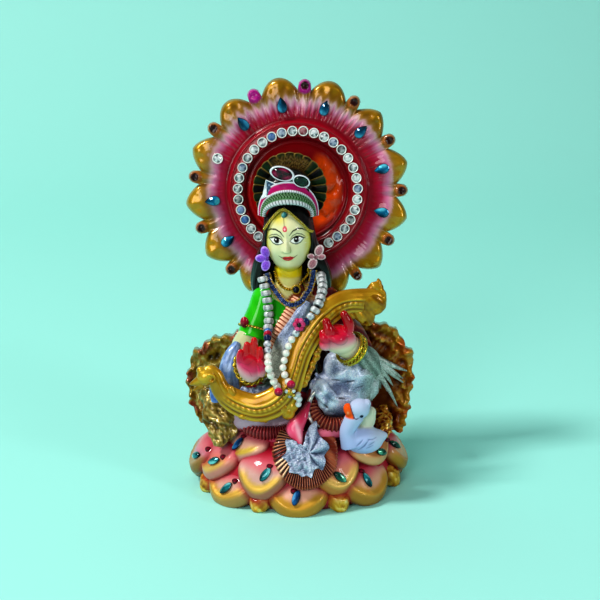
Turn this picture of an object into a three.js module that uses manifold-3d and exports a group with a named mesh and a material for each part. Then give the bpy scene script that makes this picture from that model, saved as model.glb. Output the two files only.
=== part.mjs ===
// A painted votive figure of Saraswati: one casting of lotus pedestal, seated figure and drapery, with
// the halo, the veena, the swan and the dress jewellery made separately and glued on. Millimetres, +Z
// up. The figure faces -Y, and the origin is on the pedestal's underside, below the head.
import * as THREE from "three";
import { mergeVertices } from "three/addons/utils/BufferGeometryUtils.js";
import Module from "manifold-3d";

const wasm = await Module();
wasm.setup();

// Driving sizes
const GLUE_GAP = 0.3; // left between two pieces that are glued together
const LOTUS_WIDTH = 104;
const LOTUS_DEPTH = 91;
const SEAT_HEIGHT = 26; // floor to the flat that the figure sits on
const FIGURE_HEIGHT = 122; // seat to the top of the hair
const HALO_RADIUS = 53; // to the tip of a petal
const HALO_LEAN = 8; // degrees that the disc leans back
const HALO_PLATE = 5; // thickness of the disc inside its petals
const SWAN_HEIGHT = 29;
const LOTUS_GEM_LENGTH = 7.2;
const LOTUS_GEM_WIDTH = 3.6;
const HALO_GEM_LENGTH = 7.4;
const HALO_GEM_WIDTH = 4.2;
const GEM_RISE = 1.5; // height of a glued gem or rhinestone
const GEM_BACK = 0.2; // how far the back of a cut gem bulges
const RHINESTONE_RADIUS = 2.4;
const PEARL_RADIUS = 2;
const RONDELLE_RADIUS = 2.5; // flat crystal beads at the neck end of a garland
const RONDELLE_LENGTH = 3.4;
const COLLAR_BEAD_RADIUS = 0.95;
const CHAIN_RADIUS = 0.6;
const BANGLE_WIRE = 1.1; // radius of the wire
const FAN_SHEET = 1.5; // thickness of the pleated fan behind the head
const TIARA_SHEET = 1.8;

const degrees = THREE.MathUtils.degToRad;
const { lerp, clamp } = THREE.MathUtils;

// A drawing of one piece at its own scale. Its points are given from `base`, and `share` makes them real
// sizes.
function drawing(origin, share, base = [0, 0, 0]) {
  const at = (x, y, z) =>
    new THREE.Vector3(x - base[0], y - base[1], z - base[2]).multiplyScalar(share).add(origin);
  return { at, share };
}

// Moves every vertex of a geometry by a function of its place.
function moved(geometry, place) {
  const made = geometry.index ? geometry.toNonIndexed() : geometry;
  const positions = made.getAttribute("position");
  const v = new THREE.Vector3();
  for (let i = 0; i < positions.count; i++) {
    const to = place(v.fromBufferAttribute(positions, i));
    positions.setXYZ(i, to.x, to.y, to.z);
  }
  return made;
}

// A closed geometry as a solid that faces out, with collapsed faces dropped.
function solid(geometry) {
  const flat = geometry.index ? geometry.toNonIndexed() : geometry;
  const bare = new THREE.BufferGeometry();
  bare.setAttribute("position", flat.getAttribute("position"));
  const merged = mergeVertices(bare, 1e-4);
  const vertProperties = merged.attributes.position.array;
  const corners = merged.index.array;
  const corner = (i) => new THREE.Vector3().fromArray(vertProperties, corners[i] * 3);
  const kept = [];
  let volume = 0;
  for (let i = 0; i < corners.length; i += 3) {
    const [a, b, c] = [corners[i], corners[i + 1], corners[i + 2]];
    if (a === b || b === c || c === a) continue;
    kept.push(a, b, c);
    volume += corner(i).dot(corner(i + 1).cross(corner(i + 2)));
  }
  if (volume < 0) kept.reverse();
  const triVerts = new Uint32Array(kept);
  return new wasm.Manifold(new wasm.Mesh({ numProp: 3, vertProperties, triVerts }));
}

function joined(solids) {
  return solids.reduce((whole, next) => whole.add(next));
}

function cut(body, tools) {
  return tools.reduce((left, tool) => left.subtract(tool), body);
}

// A solid as a three.js geometry.
function geometryOf(made) {
  const data = made.getMesh();
  const geometry = new THREE.BufferGeometry();
  geometry.setAttribute("position", new THREE.BufferAttribute(data.vertProperties, 3));
  geometry.setIndex(new THREE.BufferAttribute(data.triVerts, 1));
  geometry.computeVertexNormals();
  return geometry;
}

// An egg with its centre and half sizes in the drawing, and its turn as [x, y, z] in degrees.
function egg(drawn, centre, half, { turn = [0, 0, 0], sides = 8, rings = 6, grow = 0, shape } = {}) {
  const spin = new THREE.Euler(...turn.map(degrees));
  const middle = drawn.at(...centre);
  const sphere = new THREE.SphereGeometry(1, sides, rings).rotateX(Math.PI / 2);
  return solid(
    moved(sphere, (v) => {
      if (shape) shape(v);
      v.multiply(new THREE.Vector3(...half).multiplyScalar(drawn.share).addScalar(grow));
      return v.applyEuler(spin).add(middle);
    }),
  );
}

// A limb along a smooth line through stations of [x, y, z, half width, half depth] in the drawing. Its
// width lies across the line, square to `facing`. `swell` scales the section at an angle round it and a
// share along it.
function limb(drawn, stations, { sides = 7, steps = 5, facing = [0, -1, 0], grow = 0, swell } = {}) {
  const line = new THREE.CatmullRomCurve3(stations.map(([x, y, z]) => drawn.at(x, y, z)));
  const sizes = new THREE.CatmullRomCurve3(
    stations.map((s) => new THREE.Vector3(s[3], s[4] ?? s[3], 0).multiplyScalar(drawn.share)),
  );
  const front = new THREE.Vector3(...facing);
  const tube = new THREE.CylinderGeometry(1, 1, 1, sides, steps);
  return solid(
    moved(tube, (v) => {
      const t = clamp(0.5 - v.y, 0, 1);
      const along = line.getTangent(t);
      const across = new THREE.Vector3().crossVectors(along, front).normalize();
      const out = new THREE.Vector3().crossVectors(across, along).normalize();
      const size = sizes.getPoint(t);
      const angle = Math.atan2(v.z, v.x);
      const reach = Math.hypot(v.x, v.z) * (swell ? swell(angle, t) : 1);
      const place = line.getPoint(t);
      place.addScaledVector(across, reach * Math.cos(angle) * (Math.max(size.x, 0.1) + grow));
      place.addScaledVector(out, reach * Math.sin(angle) * (Math.max(size.y, 0.1) + grow));
      // A grown copy is longer at both ends too.
      return place.addScaledVector(along, grow * Math.sign(t - 0.5) * (t === 0 || t === 1));
    }),
  );
}

// A sheet with thickness along `facing`. surface(u, v) gives its middle, and u and v run from 0 to 1.
function sheet(across, up, thickness, surface, { facing = [0, -1, 0], grow = 0 } = {}) {
  const front = new THREE.Vector3(...facing).normalize();
  const slab = new THREE.BoxGeometry(1, 1, 1, across, 1, up);
  return solid(
    moved(slab, (v) => {
      const off = v.y * (thickness + 2 * grow);
      return surface(0.5 + v.x, 0.5 + v.z, grow).addScaledVector(front, off);
    }),
  );
}

// A string of touching beads along a curve, as one turned solid with a waist at each thread.
function beadString(curve, beadCount, radiusAt, { sides = 5, grow = 0, waist = 0.45 } = {}) {
  const tube = new THREE.CylinderGeometry(1, 1, 1, sides, 2 * beadCount);
  const front = new THREE.Vector3(0, -1, 0);
  return solid(
    moved(tube, (v) => {
      const t = clamp(0.5 - v.y, 0, 1);
      const along = curve.getTangentAt(t);
      const across = new THREE.Vector3().crossVectors(along, front).normalize();
      const out = new THREE.Vector3().crossVectors(across, along).normalize();
      const atWaist = Math.round(t * 2 * beadCount) % 2 === 0;
      const radius = radiusAt(t) * (atWaist ? waist : 1) + grow;
      return curve
        .getPointAt(t)
        .addScaledVector(across, v.x * radius)
        .addScaledVector(out, v.z * radius);
    }),
  );
}

// A glued gem lying in X and Y with its flat back down: pointed at both ends, or at +X only as a drop.
function gem(length, width, isDrop) {
  const crown = new THREE.SphereGeometry(1, 6, 3).rotateZ(Math.PI / 2);
  return moved(crown, (v) => {
    const along = v.x;
    const round = Math.sqrt(Math.max(1 - along * along, 1e-6));
    const slender = isDrop ? 0.77 * (1 - along) : round;
    const rise = v.z > 0 ? GEM_RISE : GEM_BACK;
    return v.set((along * length) / 2, (v.y * slender * width) / 2, v.z * slender * rise);
  });
}

function rhinestone(radius) {
  return new THREE.CylinderGeometry(radius * 0.7, radius, GEM_RISE, 6).rotateX(Math.PI / 2);
}

// Sets a geometry at a point, with its +Z along `out` and its +X as near `along` as that allows.
function placed(geometry, point, out, along) {
  const up = out.clone().normalize();
  const side = new THREE.Vector3().crossVectors(up, along).normalize();
  const forward = new THREE.Vector3().crossVectors(side, up);
  return geometry.applyMatrix4(new THREE.Matrix4().makeBasis(forward, side, up).setPosition(point));
}

// Lotus pedestal, of plump petals in three tiers with small lobes between them at the floor. A petal's
// angle is round from +X, `tip` is how far it reaches, `half` its half length, width and thickness, and
// `rise` its middle's height. `gem` is the spot of the gem glued to it, as shares along and across it.
const LOTUS_DRAWN = { width: 104, seat: 26 };
const LOTUS_BACK = -4; // the pedestal's middle, in front of the figure's
const LOWER = { tip: 1, half: [13, 14.5, 6.2], rise: 7.6, tilt: 32 };
const LOBE = { tip: 0.97, half: [6, 5.5, 5], rise: 4.5, tilt: 4 };
const MIDDLE = { tip: 0.97, half: [14, 12.5, 5.2], rise: 16, tilt: 42 };
const UPPER = { tip: 0.86, half: [11, 13.5, 4.2], rise: 24, tilt: 30 };
const PETALS = [
  { ...LOWER, angle: -134, gem: [0.5, 0.14, 42] },
  { ...LOWER, angle: -90, gem: [0.48, -0.05, 70] },
  { ...LOWER, angle: -45, rise: 9, gem: [0.31, -0.2, -62] },
  ...[10, 62, 118, 172].map((angle) => ({ ...LOWER, angle })),
  ...[-155, -112, -66, -16].map((angle) => ({ ...LOBE, angle })),
  { ...MIDDLE, angle: -171, tip: 1.01, gem: [0.42, 0.4, 15] },
  { ...MIDDLE, angle: -151, tip: 0.96, rise: 18, tilt: 38, gem: [0.44, 0.31, 20] },
  { ...MIDDLE, angle: -112, rise: 17.2, gem: [0.3, 0.25, 52] },
  { ...MIDDLE, angle: -66, tip: 0.94, rise: 18.6, gem: [0.55, -0.01, -38] },
  { ...MIDDLE, angle: -2, tip: 1.02, gem: [0.02, -0.59, -30] },
  ...[50, 90, 136].map((angle) => ({ ...MIDDLE, angle })),
  { ...UPPER, angle: -137, tip: 0.79, rise: 25.4, gem: [0.47, 0.02, 48] },
  { ...UPPER, angle: -34, tip: 0.92, gem: [0.72, 0, -12] },
  ...[30, 90, 150].map((angle) => ({ ...UPPER, angle })),
];
const PETAL_DROOP = 2.2; // how far a petal's tip and root curl down from its middle

// The middle of one petal and the ways along it, across it and off its face.
function petalFrame(petal) {
  const angle = degrees(petal.angle);
  const tilt = degrees(petal.tilt);
  const away = new THREE.Vector3(Math.cos(angle), Math.sin(angle), 0);
  const along = away.clone().multiplyScalar(Math.cos(tilt)).setZ(-Math.sin(tilt));
  const across = new THREE.Vector3(-away.y, away.x, 0);
  const face = new THREE.Vector3().crossVectors(along, across);
  const wide = LOTUS_WIDTH / LOTUS_DRAWN.width;
  const tall = SEAT_HEIGHT / LOTUS_DRAWN.seat;
  const half = new THREE.Vector3(petal.half[0] * wide, petal.half[1] * wide, petal.half[2] * tall);
  const reach = petal.tip / 2;
  const middle = new THREE.Vector3(away.x * LOTUS_WIDTH * reach, away.y * LOTUS_DEPTH * reach, 0);
  middle.addScaledVector(along, -half.x).setZ(petal.rise * tall);
  middle.y += LOTUS_BACK;
  return { middle, along, across, face, half };
}

function onPetal(frame, x, y, z) {
  return frame.middle
    .clone()
    .addScaledVector(frame.along, x * frame.half.x)
    .addScaledVector(frame.across, y * frame.half.y)
    .addScaledVector(frame.face, z * frame.half.z - PETAL_DROOP * x * x);
}

function isInPetal(frame, point) {
  const from = point.clone().sub(frame.middle);
  const x = from.dot(frame.along) / frame.half.x;
  const taper = x > 0 ? 1 - 0.2 * x * x : 1 + 0.25 * Math.max(x, -1);
  const y = from.dot(frame.across) / (frame.half.y * taper);
  const z = (from.dot(frame.face) + PETAL_DROOP * x * x) / frame.half.z;
  return x * x + y * y + z * z < 1;
}

// The pedestal's skin is how far its petals reach at each height and angle, round a solid core.
const LOTUS_SECTORS = 64;
const LOTUS_LEVELS = [0, 0.1, 0.22, 0.34, 0.46, 0.6, 0.74, 0.88, 1];
const LOTUS_TOP = 1.12; // the upper petals' height, as a share of the seat's
const LOTUS_CORE = 0.27; // the core's radius, as a share of the width
const LOTUS_SEARCH = 0.25; // how finely a reach is looked for

function lotus() {
  const frames = PETALS.map(petalFrame);
  const core = LOTUS_CORE * LOTUS_WIDTH;
  const reach = (angle, z) => {
    const point = new THREE.Vector3();
    for (let radius = 0.55 * LOTUS_WIDTH; radius > core; radius -= LOTUS_SEARCH) {
      point.set(radius * Math.cos(angle), radius * Math.sin(angle) + LOTUS_BACK, z);
      if (frames.some((frame) => isInPetal(frame, point))) return radius;
    }
    return core;
  };
  const rings = LOTUS_LEVELS.map((level) => new THREE.Vector2(1, level));
  const profile = [new THREE.Vector2(0, 0), ...rings, new THREE.Vector2(0, 1)];
  const skin = new THREE.LatheGeometry(profile, LOTUS_SECTORS);
  return solid(
    moved(skin, (v) => {
      const z = v.y * LOTUS_TOP * SEAT_HEIGHT;
      const angle = Math.atan2(v.z, v.x);
      const radius = Math.hypot(v.x, v.z) > 0.5 ? reach(angle, Math.max(z, 0.3)) : 0;
      return v.set(radius * Math.cos(angle), radius * Math.sin(angle) + LOTUS_BACK, z);
    }),
  );
}

// A gem lies flat on the highest of the nine spots under its middle, its ends and its edges. Seen from
// in front and a little above, its long axis stands at the given number of degrees from level.
const SEEN_UP = new THREE.Vector3(0, 0.29, 0.957);
const SEEN_ALONG = new THREE.Vector3(0, 0.957, -0.29);

function lotusGem(petal, ground) {
  const frame = petalFrame(petal);
  const [x, y, lie] = petal.gem;
  const onFace = (dx, dy) => onPetal(frame, x + dx, y + dy, Math.sqrt(1 - (x + dx) ** 2 - (y + dy) ** 2));
  const down = onFace(0.1, 0).sub(onFace(-0.1, 0));
  const out = new THREE.Vector3().crossVectors(down, onFace(0, 0.1).sub(onFace(0, -0.1))).normalize();
  const seen = new THREE.Vector3(Math.cos(degrees(lie)), 0, 0);
  seen.addScaledVector(SEEN_UP, Math.sin(degrees(lie)));
  const along = seen.cross(SEEN_ALONG).cross(out).normalize();
  const across = new THREE.Vector3().crossVectors(out, along);
  const ray = new THREE.Raycaster();
  const spots = [-0.4, 0, 0.4].flatMap((a) => [-0.4, 0, 0.4].map((b) => [a, a ? 0.6 * b : b]));
  const heights = spots.flatMap(([a, b]) => {
    const start = onFace(0, 0).addScaledVector(along, a * LOTUS_GEM_LENGTH);
    start.addScaledVector(across, b * LOTUS_GEM_WIDTH).addScaledVector(out, SEAT_HEIGHT);
    ray.set(start, out.clone().negate());
    return ray.intersectObjects(ground).map((hit) => SEAT_HEIGHT - hit.distance);
  });
  const point = onFace(0, 0).addScaledVector(out, Math.max(...heights) + GLUE_GAP + GEM_BACK);
  return solid(placed(gem(LOTUS_GEM_LENGTH, LOTUS_GEM_WIDTH, false), point, out, along));
}

// Seated figure, drawn once at this height above this seat
const BODY = drawing(new THREE.Vector3(0, 0, SEAT_HEIGHT), FIGURE_HEIGHT / 122, [0, 0, 26]);

function torso() {
  const stations = [
    [0, 1, 28, 19, 14],
    [-1, 1, 44, 15, 12],
    [-2, 0, 56, 12.5, 10],
    [-3, -1, 70, 13.5, 11.5],
    [-3.2, 0, 80, 16.5, 11],
    [-3.4, 2, 88.5, 16, 8.5],
    [-4, 2, 95, 7, 5],
  ];
  return limb(BODY, stations, { sides: 10, steps: 7 });
}

function headAndNeck() {
  const toJaw = (v) => {
    v.x *= 1 - 0.28 * Math.max(-v.z, 0) ** 1.8;
    v.y *= 1 - 0.12 * Math.max(-v.z, 0);
  };
  const nose = [
    [-4.9, -13.1, 119, 0.9, 1],
    [-5, -14.8, 114.4, 1.4, 1.6],
    [-5, -13.6, 113, 1, 0.6],
  ];
  return joined([
    limb(BODY, [[-4, 1, 88, 8], [-4.2, -1, 95, 6.6], [-4.4, -1.5, 104, 6.4]], { sides: 8, steps: 2 }),
    egg(BODY, [-4.4, -3.5, 117], [10.6, 11, 15.2], { shape: toJaw, sides: 12, rings: 7 }),
    limb(BODY, nose, { steps: 2, sides: 5 }),
  ]);
}

// Hair: a cap, a bun inside the fan, a lock down each side of the neck, and the nape behind.
function hair() {
  const locks = [
    [
      [-12.6, 0, 127, 3, 6],
      [-14.8, 1, 114, 3.2, 6],
      [-17.2, 1, 103, 5, 6.5],
      [-19, 3, 94, 4.8, 6],
      [-20.5, 5, 86, 2, 3],
    ],
    [
      [4.2, 0, 127, 3, 6],
      [6.2, 1, 114, 3, 6],
      [8.8, 1, 104, 5, 6.5],
      [11.6, 3, 96, 4.2, 6],
      [13.6, 5, 88, 2, 3],
    ],
  ];
  const all = joined([
    egg(BODY, [-4.4, 1, 120], [11.9, 11, 15.2], { sides: 10, rings: 6 }),
    egg(BODY, [-4.4, 3.5, 137], [11, 8, 11], { rings: 5 }),
    egg(BODY, [-4.4, 9, 104], [14, 7, 20], { sides: 6, rings: 4 }),
    ...locks.map((lock) => limb(BODY, lock, { sides: 6, steps: 4 })),
  ]);
  // The forehead and cheeks show through an opening in front.
  return all.subtract(egg(BODY, [-4.4, -14, 116], [10.2, 9, 14.8], { sides: 10, rings: 5 }));
}

function rightArm() {
  const sleeve = [
    [-10, 2, 93, 3, 5],
    [-15.2, 0, 90, 5, 6],
    [-17.8, -3, 82, 5.8, 6.4],
    [-20.4, -6, 74.5, 6.5, 6.4],
    [-21.4, -8, 70, 6.4, 6.2],
  ];
  const forearm = [
    [-21.4, -7, 73, 5.4, 5],
    [-25.2, -10, 67, 5.8, 5.6],
    [-26, -15, 60, 5.2, 5],
    [-21.4, -27, 60, 4.4, 4.2],
  ];
  const scarf = [
    [-27.4, -13, 71, 2, 2.2],
    [-30, -17, 66, 4, 3],
    [-31.6, -18, 58, 5, 4.4],
    [-31, -18, 48, 5.4, 4.6],
    [-28.6, -16, 37, 4.6, 3.6],
  ];
  return joined([
    limb(BODY, sleeve, { sides: 8 }),
    limb(BODY, forearm, { facing: [1, 0, 0], steps: 4 }),
    limb(BODY, scarf, { steps: 4 }),
    limb(
      BODY,
      [
        [-38, -9, 50, 3.4, 3],
        [-41.5, -12, 43, 4, 2.4],
        [-40, -12, 36, 2, 1.5],
      ],
      { sides: 5, steps: 2 },
    ),
  ]);
}

// A palm, and fingers that each run through three points and thin towards the tip.
function hand(palmCentre, palmHalf, palmTurn, fingers) {
  const made = fingers.map(([root, knuckle, tip, radius]) =>
    limb(
      BODY,
      [
        [...root, radius],
        [...knuckle, radius * 0.96],
        [...tip, radius * 0.7],
      ],
      { sides: 5, steps: 2 },
    ),
  );
  return joined([egg(BODY, palmCentre, palmHalf, { turn: palmTurn, sides: 7, rings: 4 }), ...made]);
}

function rightHand() {
  return hand([-21, -29.5, 65.2], [6.3, 3.8, 8.2], [0, 0, 0], [
    [[-19.4, -30, 68], [-19.2, -30.8, 74], [-19.2, -31.6, 77.6], 2.1],
    [[-22.6, -30, 68], [-22.6, -30.8, 73], [-22.4, -31.8, 75.6], 2],
    [[-25.4, -30, 66], [-25.6, -31.2, 70], [-25.2, -32.4, 72.4], 1.9],
    [[-16.8, -30, 66], [-16.6, -31.4, 70.4], [-16.6, -32.4, 73.6], 1.9],
    [[-16.4, -30.5, 61], [-15.4, -33, 65.4], [-16.8, -34.4, 68.6], 2],
  ]);
}

function leftHand() {
  return hand([17, -25, 75.6], [8, 5, 6.4], [0, 24, 0], [
    [[16, -26, 77], [13, -30.2, 80.6], [11.4, -29.8, 84.8], 2.5],
    [[13.6, -26, 75], [10.8, -30.2, 77.4], [9.8, -29.6, 79.6], 2.3],
    [[13, -26, 73], [10.6, -29.4, 73.8], [9.8, -29, 75], 2.2],
    [[20, -26, 76.5], [17.2, -30.8, 77], [13.4, -31, 78.6], 2.4],
    [[20.6, -25.4, 77], [21.4, -27.6, 83], [19.2, -28.4, 87.8], 2.4],
  ]);
}

function leftArm() {
  const upper = [
    [6, 2, 89, 6, 6],
    [13, 1, 87, 6.6, 7],
    [22, -2, 77, 7, 7],
    [30, -8, 66, 7.4, 7],
    [32, -12, 58, 7, 7],
  ];
  const forearm = [
    [32, -12, 57, 7.4, 7],
    [30, -16, 63, 6.6, 6.4],
    [26, -20, 68.5, 5.6, 5.2],
    [20.5, -23.5, 73.5, 5.4, 5],
  ];
  return joined([
    limb(BODY, upper, { steps: 4 }),
    limb(BODY, forearm, { steps: 3 }),
    egg(BODY, [23.6, -16.5, 56], [13, 9.6, 10], { turn: [0, 26, 0], rings: 5 }),
  ]);
}

// The crossed legs under the skirt, the raised left knee, the borders of the sari and the red cloth
// between.
function lap() {
  const kneeBorder = [
    [5.5, -23, 46, 2.2, 2.6],
    [8.5, -28.5, 40, 2.6, 3],
    [15, -30, 36.6, 2.8, 3],
    [23, -27, 36.4, 2.6, 3],
  ];
  const lapBorder = [
    [-29, -19, 33, 1.6, 2],
    [-18, -27, 31.6, 2.6, 2.6],
    [-8, -28.5, 32.4, 2.6, 2.6],
    [-1, -27, 35, 2, 2],
  ];
  const tongue = [
    [3.4, -26, 47, 1.6, 2.4],
    [1.4, -32, 40, 3.6, 2.8],
    [0, -35.6, 34.5, 4.6, 2.4],
    [1.8, -38, 28.6, 0.8, 1.2],
  ];
  return joined([
    egg(BODY, [0, -3, 33], [36, 25, 12.5], { sides: 12, rings: 5 }),
    egg(BODY, [-21, -14, 36], [15, 12.5, 9.5], { turn: [0, 0, -18], rings: 5 }),
    egg(BODY, [18.5, -17.5, 46.5], [14.5, 11.5, 10.5], { turn: [0, 25, 0], sides: 10 }),
    limb(BODY, kneeBorder, { sides: 5, steps: 4 }),
    limb(BODY, lapBorder, { sides: 5, steps: 4 }),
    limb(BODY, tongue, { sides: 6, steps: 5 }),
  ]);
}

// The pleated front of the skirt spreads over the petals, with a torn-edged silver cloth on top of it.
const SKIRT_FAN = { centre: [3.2, -35.2, 30.6], down: [0, -0.6, -0.8], radius: 15.4, pleats: 9, spread: 112 };
const CLOTH_LOBES = [7, 10.8, 8.6, 10.6, 8.6, 11.8, 10.6, 11.6, 8.6, 11, 8];
const CLOTH_SPREAD = 88;

function skirtFan() {
  const down = new THREE.Vector3(...SKIRT_FAN.down).normalize();
  const out = new THREE.Vector3(0, down.z, -down.y);
  const spot = (angle, reach, lift) =>
    BODY.at(...SKIRT_FAN.centre)
      .addScaledVector(down, Math.cos(angle) * reach * 1.22 * BODY.share)
      .addScaledVector(new THREE.Vector3(1, 0, 0), Math.sin(angle) * reach * BODY.share)
      .addScaledVector(out, lift * BODY.share);
  const pleats = 2 * SKIRT_FAN.pleats;
  const pleated = (u, v) => {
    const ripple = Math.round(u * pleats) % 2 ? 0.5 : -0.5;
    const turn = degrees((2 * u - 1) * SKIRT_FAN.spread);
    return spot(turn, lerp(4, SKIRT_FAN.radius, v), ripple * v - 0.1 - 1.4 * v);
  };
  const lobes = CLOTH_LOBES.length - 1;
  const draped = (u, v) => {
    const i = Math.round(u * lobes);
    const fold = i % 2 ? 0.7 : -0.5;
    return spot(degrees((2 * u - 1) * CLOTH_SPREAD), lerp(1, CLOTH_LOBES[i], v), 0.7 + fold);
  };
  return joined([
    sheet(pleats, 1, 7 * BODY.share, pleated, { facing: out.toArray() }),
    sheet(lobes, 1, 6 * BODY.share, draped, { facing: out.toArray() }),
    limb(
      BODY,
      [
        [3, -34, 32, 3, 3],
        [6.6, -34, 37, 2.6, 2.6],
        [8, -32, 41.4, 0.8, 1.4],
      ],
      { sides: 5, steps: 2 },
    ),
  ]);
}

// A big crumpled leaf stands up behind the figure on each side, and gold folds of it spill on to the
// pedestal.
const LEAF_FOLDS = 6;
const LEFT_LEAF = {
  side: -1,
  root: [-15, 12, 25],
  from: -8,
  to: 88,
  outline: [28.2, 34.7, 38.8, 43.3, 47.4, 49, 46.6, 46, 44],
};
const RIGHT_LEAF = {
  side: 1,
  root: [15, 12, 25],
  from: -12,
  to: 84,
  outline: [36, 37.9, 39.5, 43.6, 50, 53.6, 55, 53.6, 50.8],
};

// A leaf is drawn about its root. Its outline holds how far it reaches at even steps from its lower edge
// to its upper.
function leaf({ side, root, from, to, outline }) {
  const across = 3 * LEAF_FOLDS;
  const surface = (u, v) => {
    const angle = degrees(lerp(from, to, u));
    const wave = Math.sin(u * LEAF_FOLDS * 2 * Math.PI + 1);
    const step = Math.min(Math.floor(u * (outline.length - 1)), outline.length - 2);
    const edge = lerp(outline[step], outline[step + 1], u * (outline.length - 1) - step);
    const ruffle = v === 1 ? 1 + 0.02 * Math.cos(u * LEAF_FOLDS * 2 * Math.PI) : 1;
    const reach = edge * lerp(0.15, 1, v) * ruffle;
    const depth = 1.8 * v * wave - 5.5 * v * v;
    const [x, y, z] = root;
    return BODY.at(x + side * reach * Math.cos(angle), y + depth, z + reach * Math.sin(angle));
  };
  return sheet(across, 1, 5.5 * BODY.share, surface);
}

function spills() {
  const left = [
    [-33, -9, 42, 5, 4],
    [-35, -17, 37, 7, 4],
    [-35, -24, 30, 6.4, 4],
    [-33, -29, 24, 3.4, 3],
    [-31.6, -30, 20, 1.4, 2],
  ];
  const crumple = (angle, t) => 1 + 0.16 * Math.sin(3 * angle + 16 * t);
  const right = [
    [39, 7, 34, 4, 4],
    [41, -5, 28, 4.4, 3.4],
    [40, -14, 22.5, 2, 2],
  ];
  return joined([limb(BODY, left, { sides: 7, swell: crumple }), limb(BODY, right, { sides: 5, steps: 2 })]);
}

// Loose tails of the sari fan out from the left wrist.
function tails() {
  const ends = [
    [[27, -15, 74], [38, -10, 62], [49, -9, 54.6]],
    [[27.6, -15, 72], [38, -11, 59], [48, -10, 48.6]],
    [[27.6, -14, 70], [37, -12, 56], [46, -11, 42]],
    [[28, -14, 68], [36, -13, 56], [39.4, -13, 46.6]],
  ];
  return joined(
    ends.map(([root, middle, tip]) =>
      limb(BODY, [[...root, 2.2, 2.6], [...middle, 2.3, 2.2], [...tip, 0.6, 1.4]], { sides: 4, steps: 3 }),
    ),
  );
}

function sash() {
  const stations = [
    [0.5, -8, 89, 3, 2.4],
    [-3, -11.8, 82, 3.6, 2],
    [-8, -13, 73, 3.6, 2],
    [-12.6, -12, 65.4, 1.4, 1.6],
  ];
  return limb(BODY, stations, { sides: 6, steps: 4 });
}

// The plain back, from the pedestal up to the halo.
function back() {
  const spine = [
    [-1, 9, 24, 24, 9],
    [-2, 11, 50, 20, 6],
    [-3, 11.5, 74, 18, 5],
    [-4, 12, 92, 15, 4],
  ];
  return limb(BODY, spine, { steps: 3 });
}

// Halo: a flower-edged disc with a raised ring round a dish. It stands behind the head and leans back.
const HALO_PETALS = 13;
const HALO_DRAWN = 53;
const HALO_FIRST = -10.6; // degrees clockwise from upright to the petal nearest the top
const HALO_STEP = 28.66; // degrees from petal to petal where they show
const HALO_SHOWN = 5; // petals that keep that step on each side, with the rest spread over what is left
const HALO_LOBE = HALO_STEP / 2;
const HALO_NOTCH_ANGLE = 10.4;
const HALO_LOBE_SIDE = 2.7; // degrees from a lobe's middle to its shoulder
const HALO_EDGE = [
  ...[-1, -0.52, 0, 0.52, 1].map((share) => share * HALO_NOTCH_ANGLE),
  ...[-1, 0, 1].map((share) => HALO_LOBE + share * HALO_LOBE_SIDE),
];
const HALO_RING = { low: 25.4, middle: 28.6, high: 32, top: 8.4 };
const HALO_FRAME = new THREE.Matrix4()
  .makeRotationX(degrees(-HALO_LEAN))
  .setPosition(BODY.at(0, 24, 133.5));
const HALO_OUT = new THREE.Vector3(0, -1, 0).transformDirection(HALO_FRAME);

// A point at an angle clockwise from the top, a radius, and a height off the middle plane of the disc.
function haloPoint(angle, radius, forward) {
  const flat = new THREE.Vector3(Math.sin(angle) * radius, -forward, Math.cos(angle) * radius);
  return flat.applyMatrix4(HALO_FRAME);
}

function haloAngle(petalIndex, offset = 0) {
  const shown = HALO_SHOWN * HALO_STEP;
  const hiddenStep = (360 - 2 * shown) / (HALO_PETALS - 2 * HALO_SHOWN);
  const turn = clamp(petalIndex, 0, HALO_SHOWN) * HALO_STEP;
  const past = clamp(petalIndex - HALO_SHOWN, 0, HALO_PETALS - 2 * HALO_SHOWN) * hiddenStep;
  const last = Math.max(petalIndex - (HALO_PETALS - HALO_SHOWN), 0) * HALO_STEP;
  const isHidden = petalIndex >= HALO_SHOWN && petalIndex < HALO_PETALS - HALO_SHOWN;
  return degrees(HALO_FIRST + turn + past + last + offset * (isHidden ? hiddenStep / HALO_STEP : 1));
}

// How far the rim reaches at an angle from the middle of a petal: a pointed petal, a notch, then a round
// lobe.
function haloRim(offset) {
  const notch = 0.84 * HALO_RADIUS;
  const away = Math.abs(offset) / HALO_NOTCH_ANGLE;
  if (away <= 1) return lerp(notch, HALO_RADIUS, 1 - away ** 2);
  return HALO_RADIUS * (offset === HALO_LOBE ? 0.985 : 0.945);
}

// The dish and its raised ring, as a profile of radius and height off the middle plane.
function dishProfile(grow) {
  const size = HALO_RADIUS / HALO_DRAWN;
  return [
    [HALO_RING.high * size, HALO_RING.top - 0.8 + grow],
    [HALO_RING.middle * size, HALO_RING.top + grow],
    [HALO_RING.low * size, HALO_RING.top - 0.8 + grow],
    [21 * size, 3.2 + grow],
    [0, 2.4 + grow],
  ].map(([radius, height]) => new THREE.Vector2(radius, height));
}

function turnedDisc(profile, sides) {
  const disc = new THREE.LatheGeometry(profile, sides);
  return solid(moved(disc, (v) => haloPoint(Math.atan2(v.x, v.z), Math.hypot(v.x, v.z), v.y)));
}

// The room that the halo needs in what it is glued to.
function haloBed() {
  const wide = HALO_RADIUS + 1;
  const edge = [
    [0, -1 - GLUE_GAP],
    [wide, -1 - GLUE_GAP],
    [wide, HALO_PLATE + 0.4 + GLUE_GAP],
    [(34 * HALO_RADIUS) / HALO_DRAWN, HALO_PLATE + 0.4 + GLUE_GAP],
  ].map(([radius, height]) => new THREE.Vector2(radius, height));
  return turnedDisc([...edge, ...dishProfile(GLUE_GAP)], 20);
}

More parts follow.
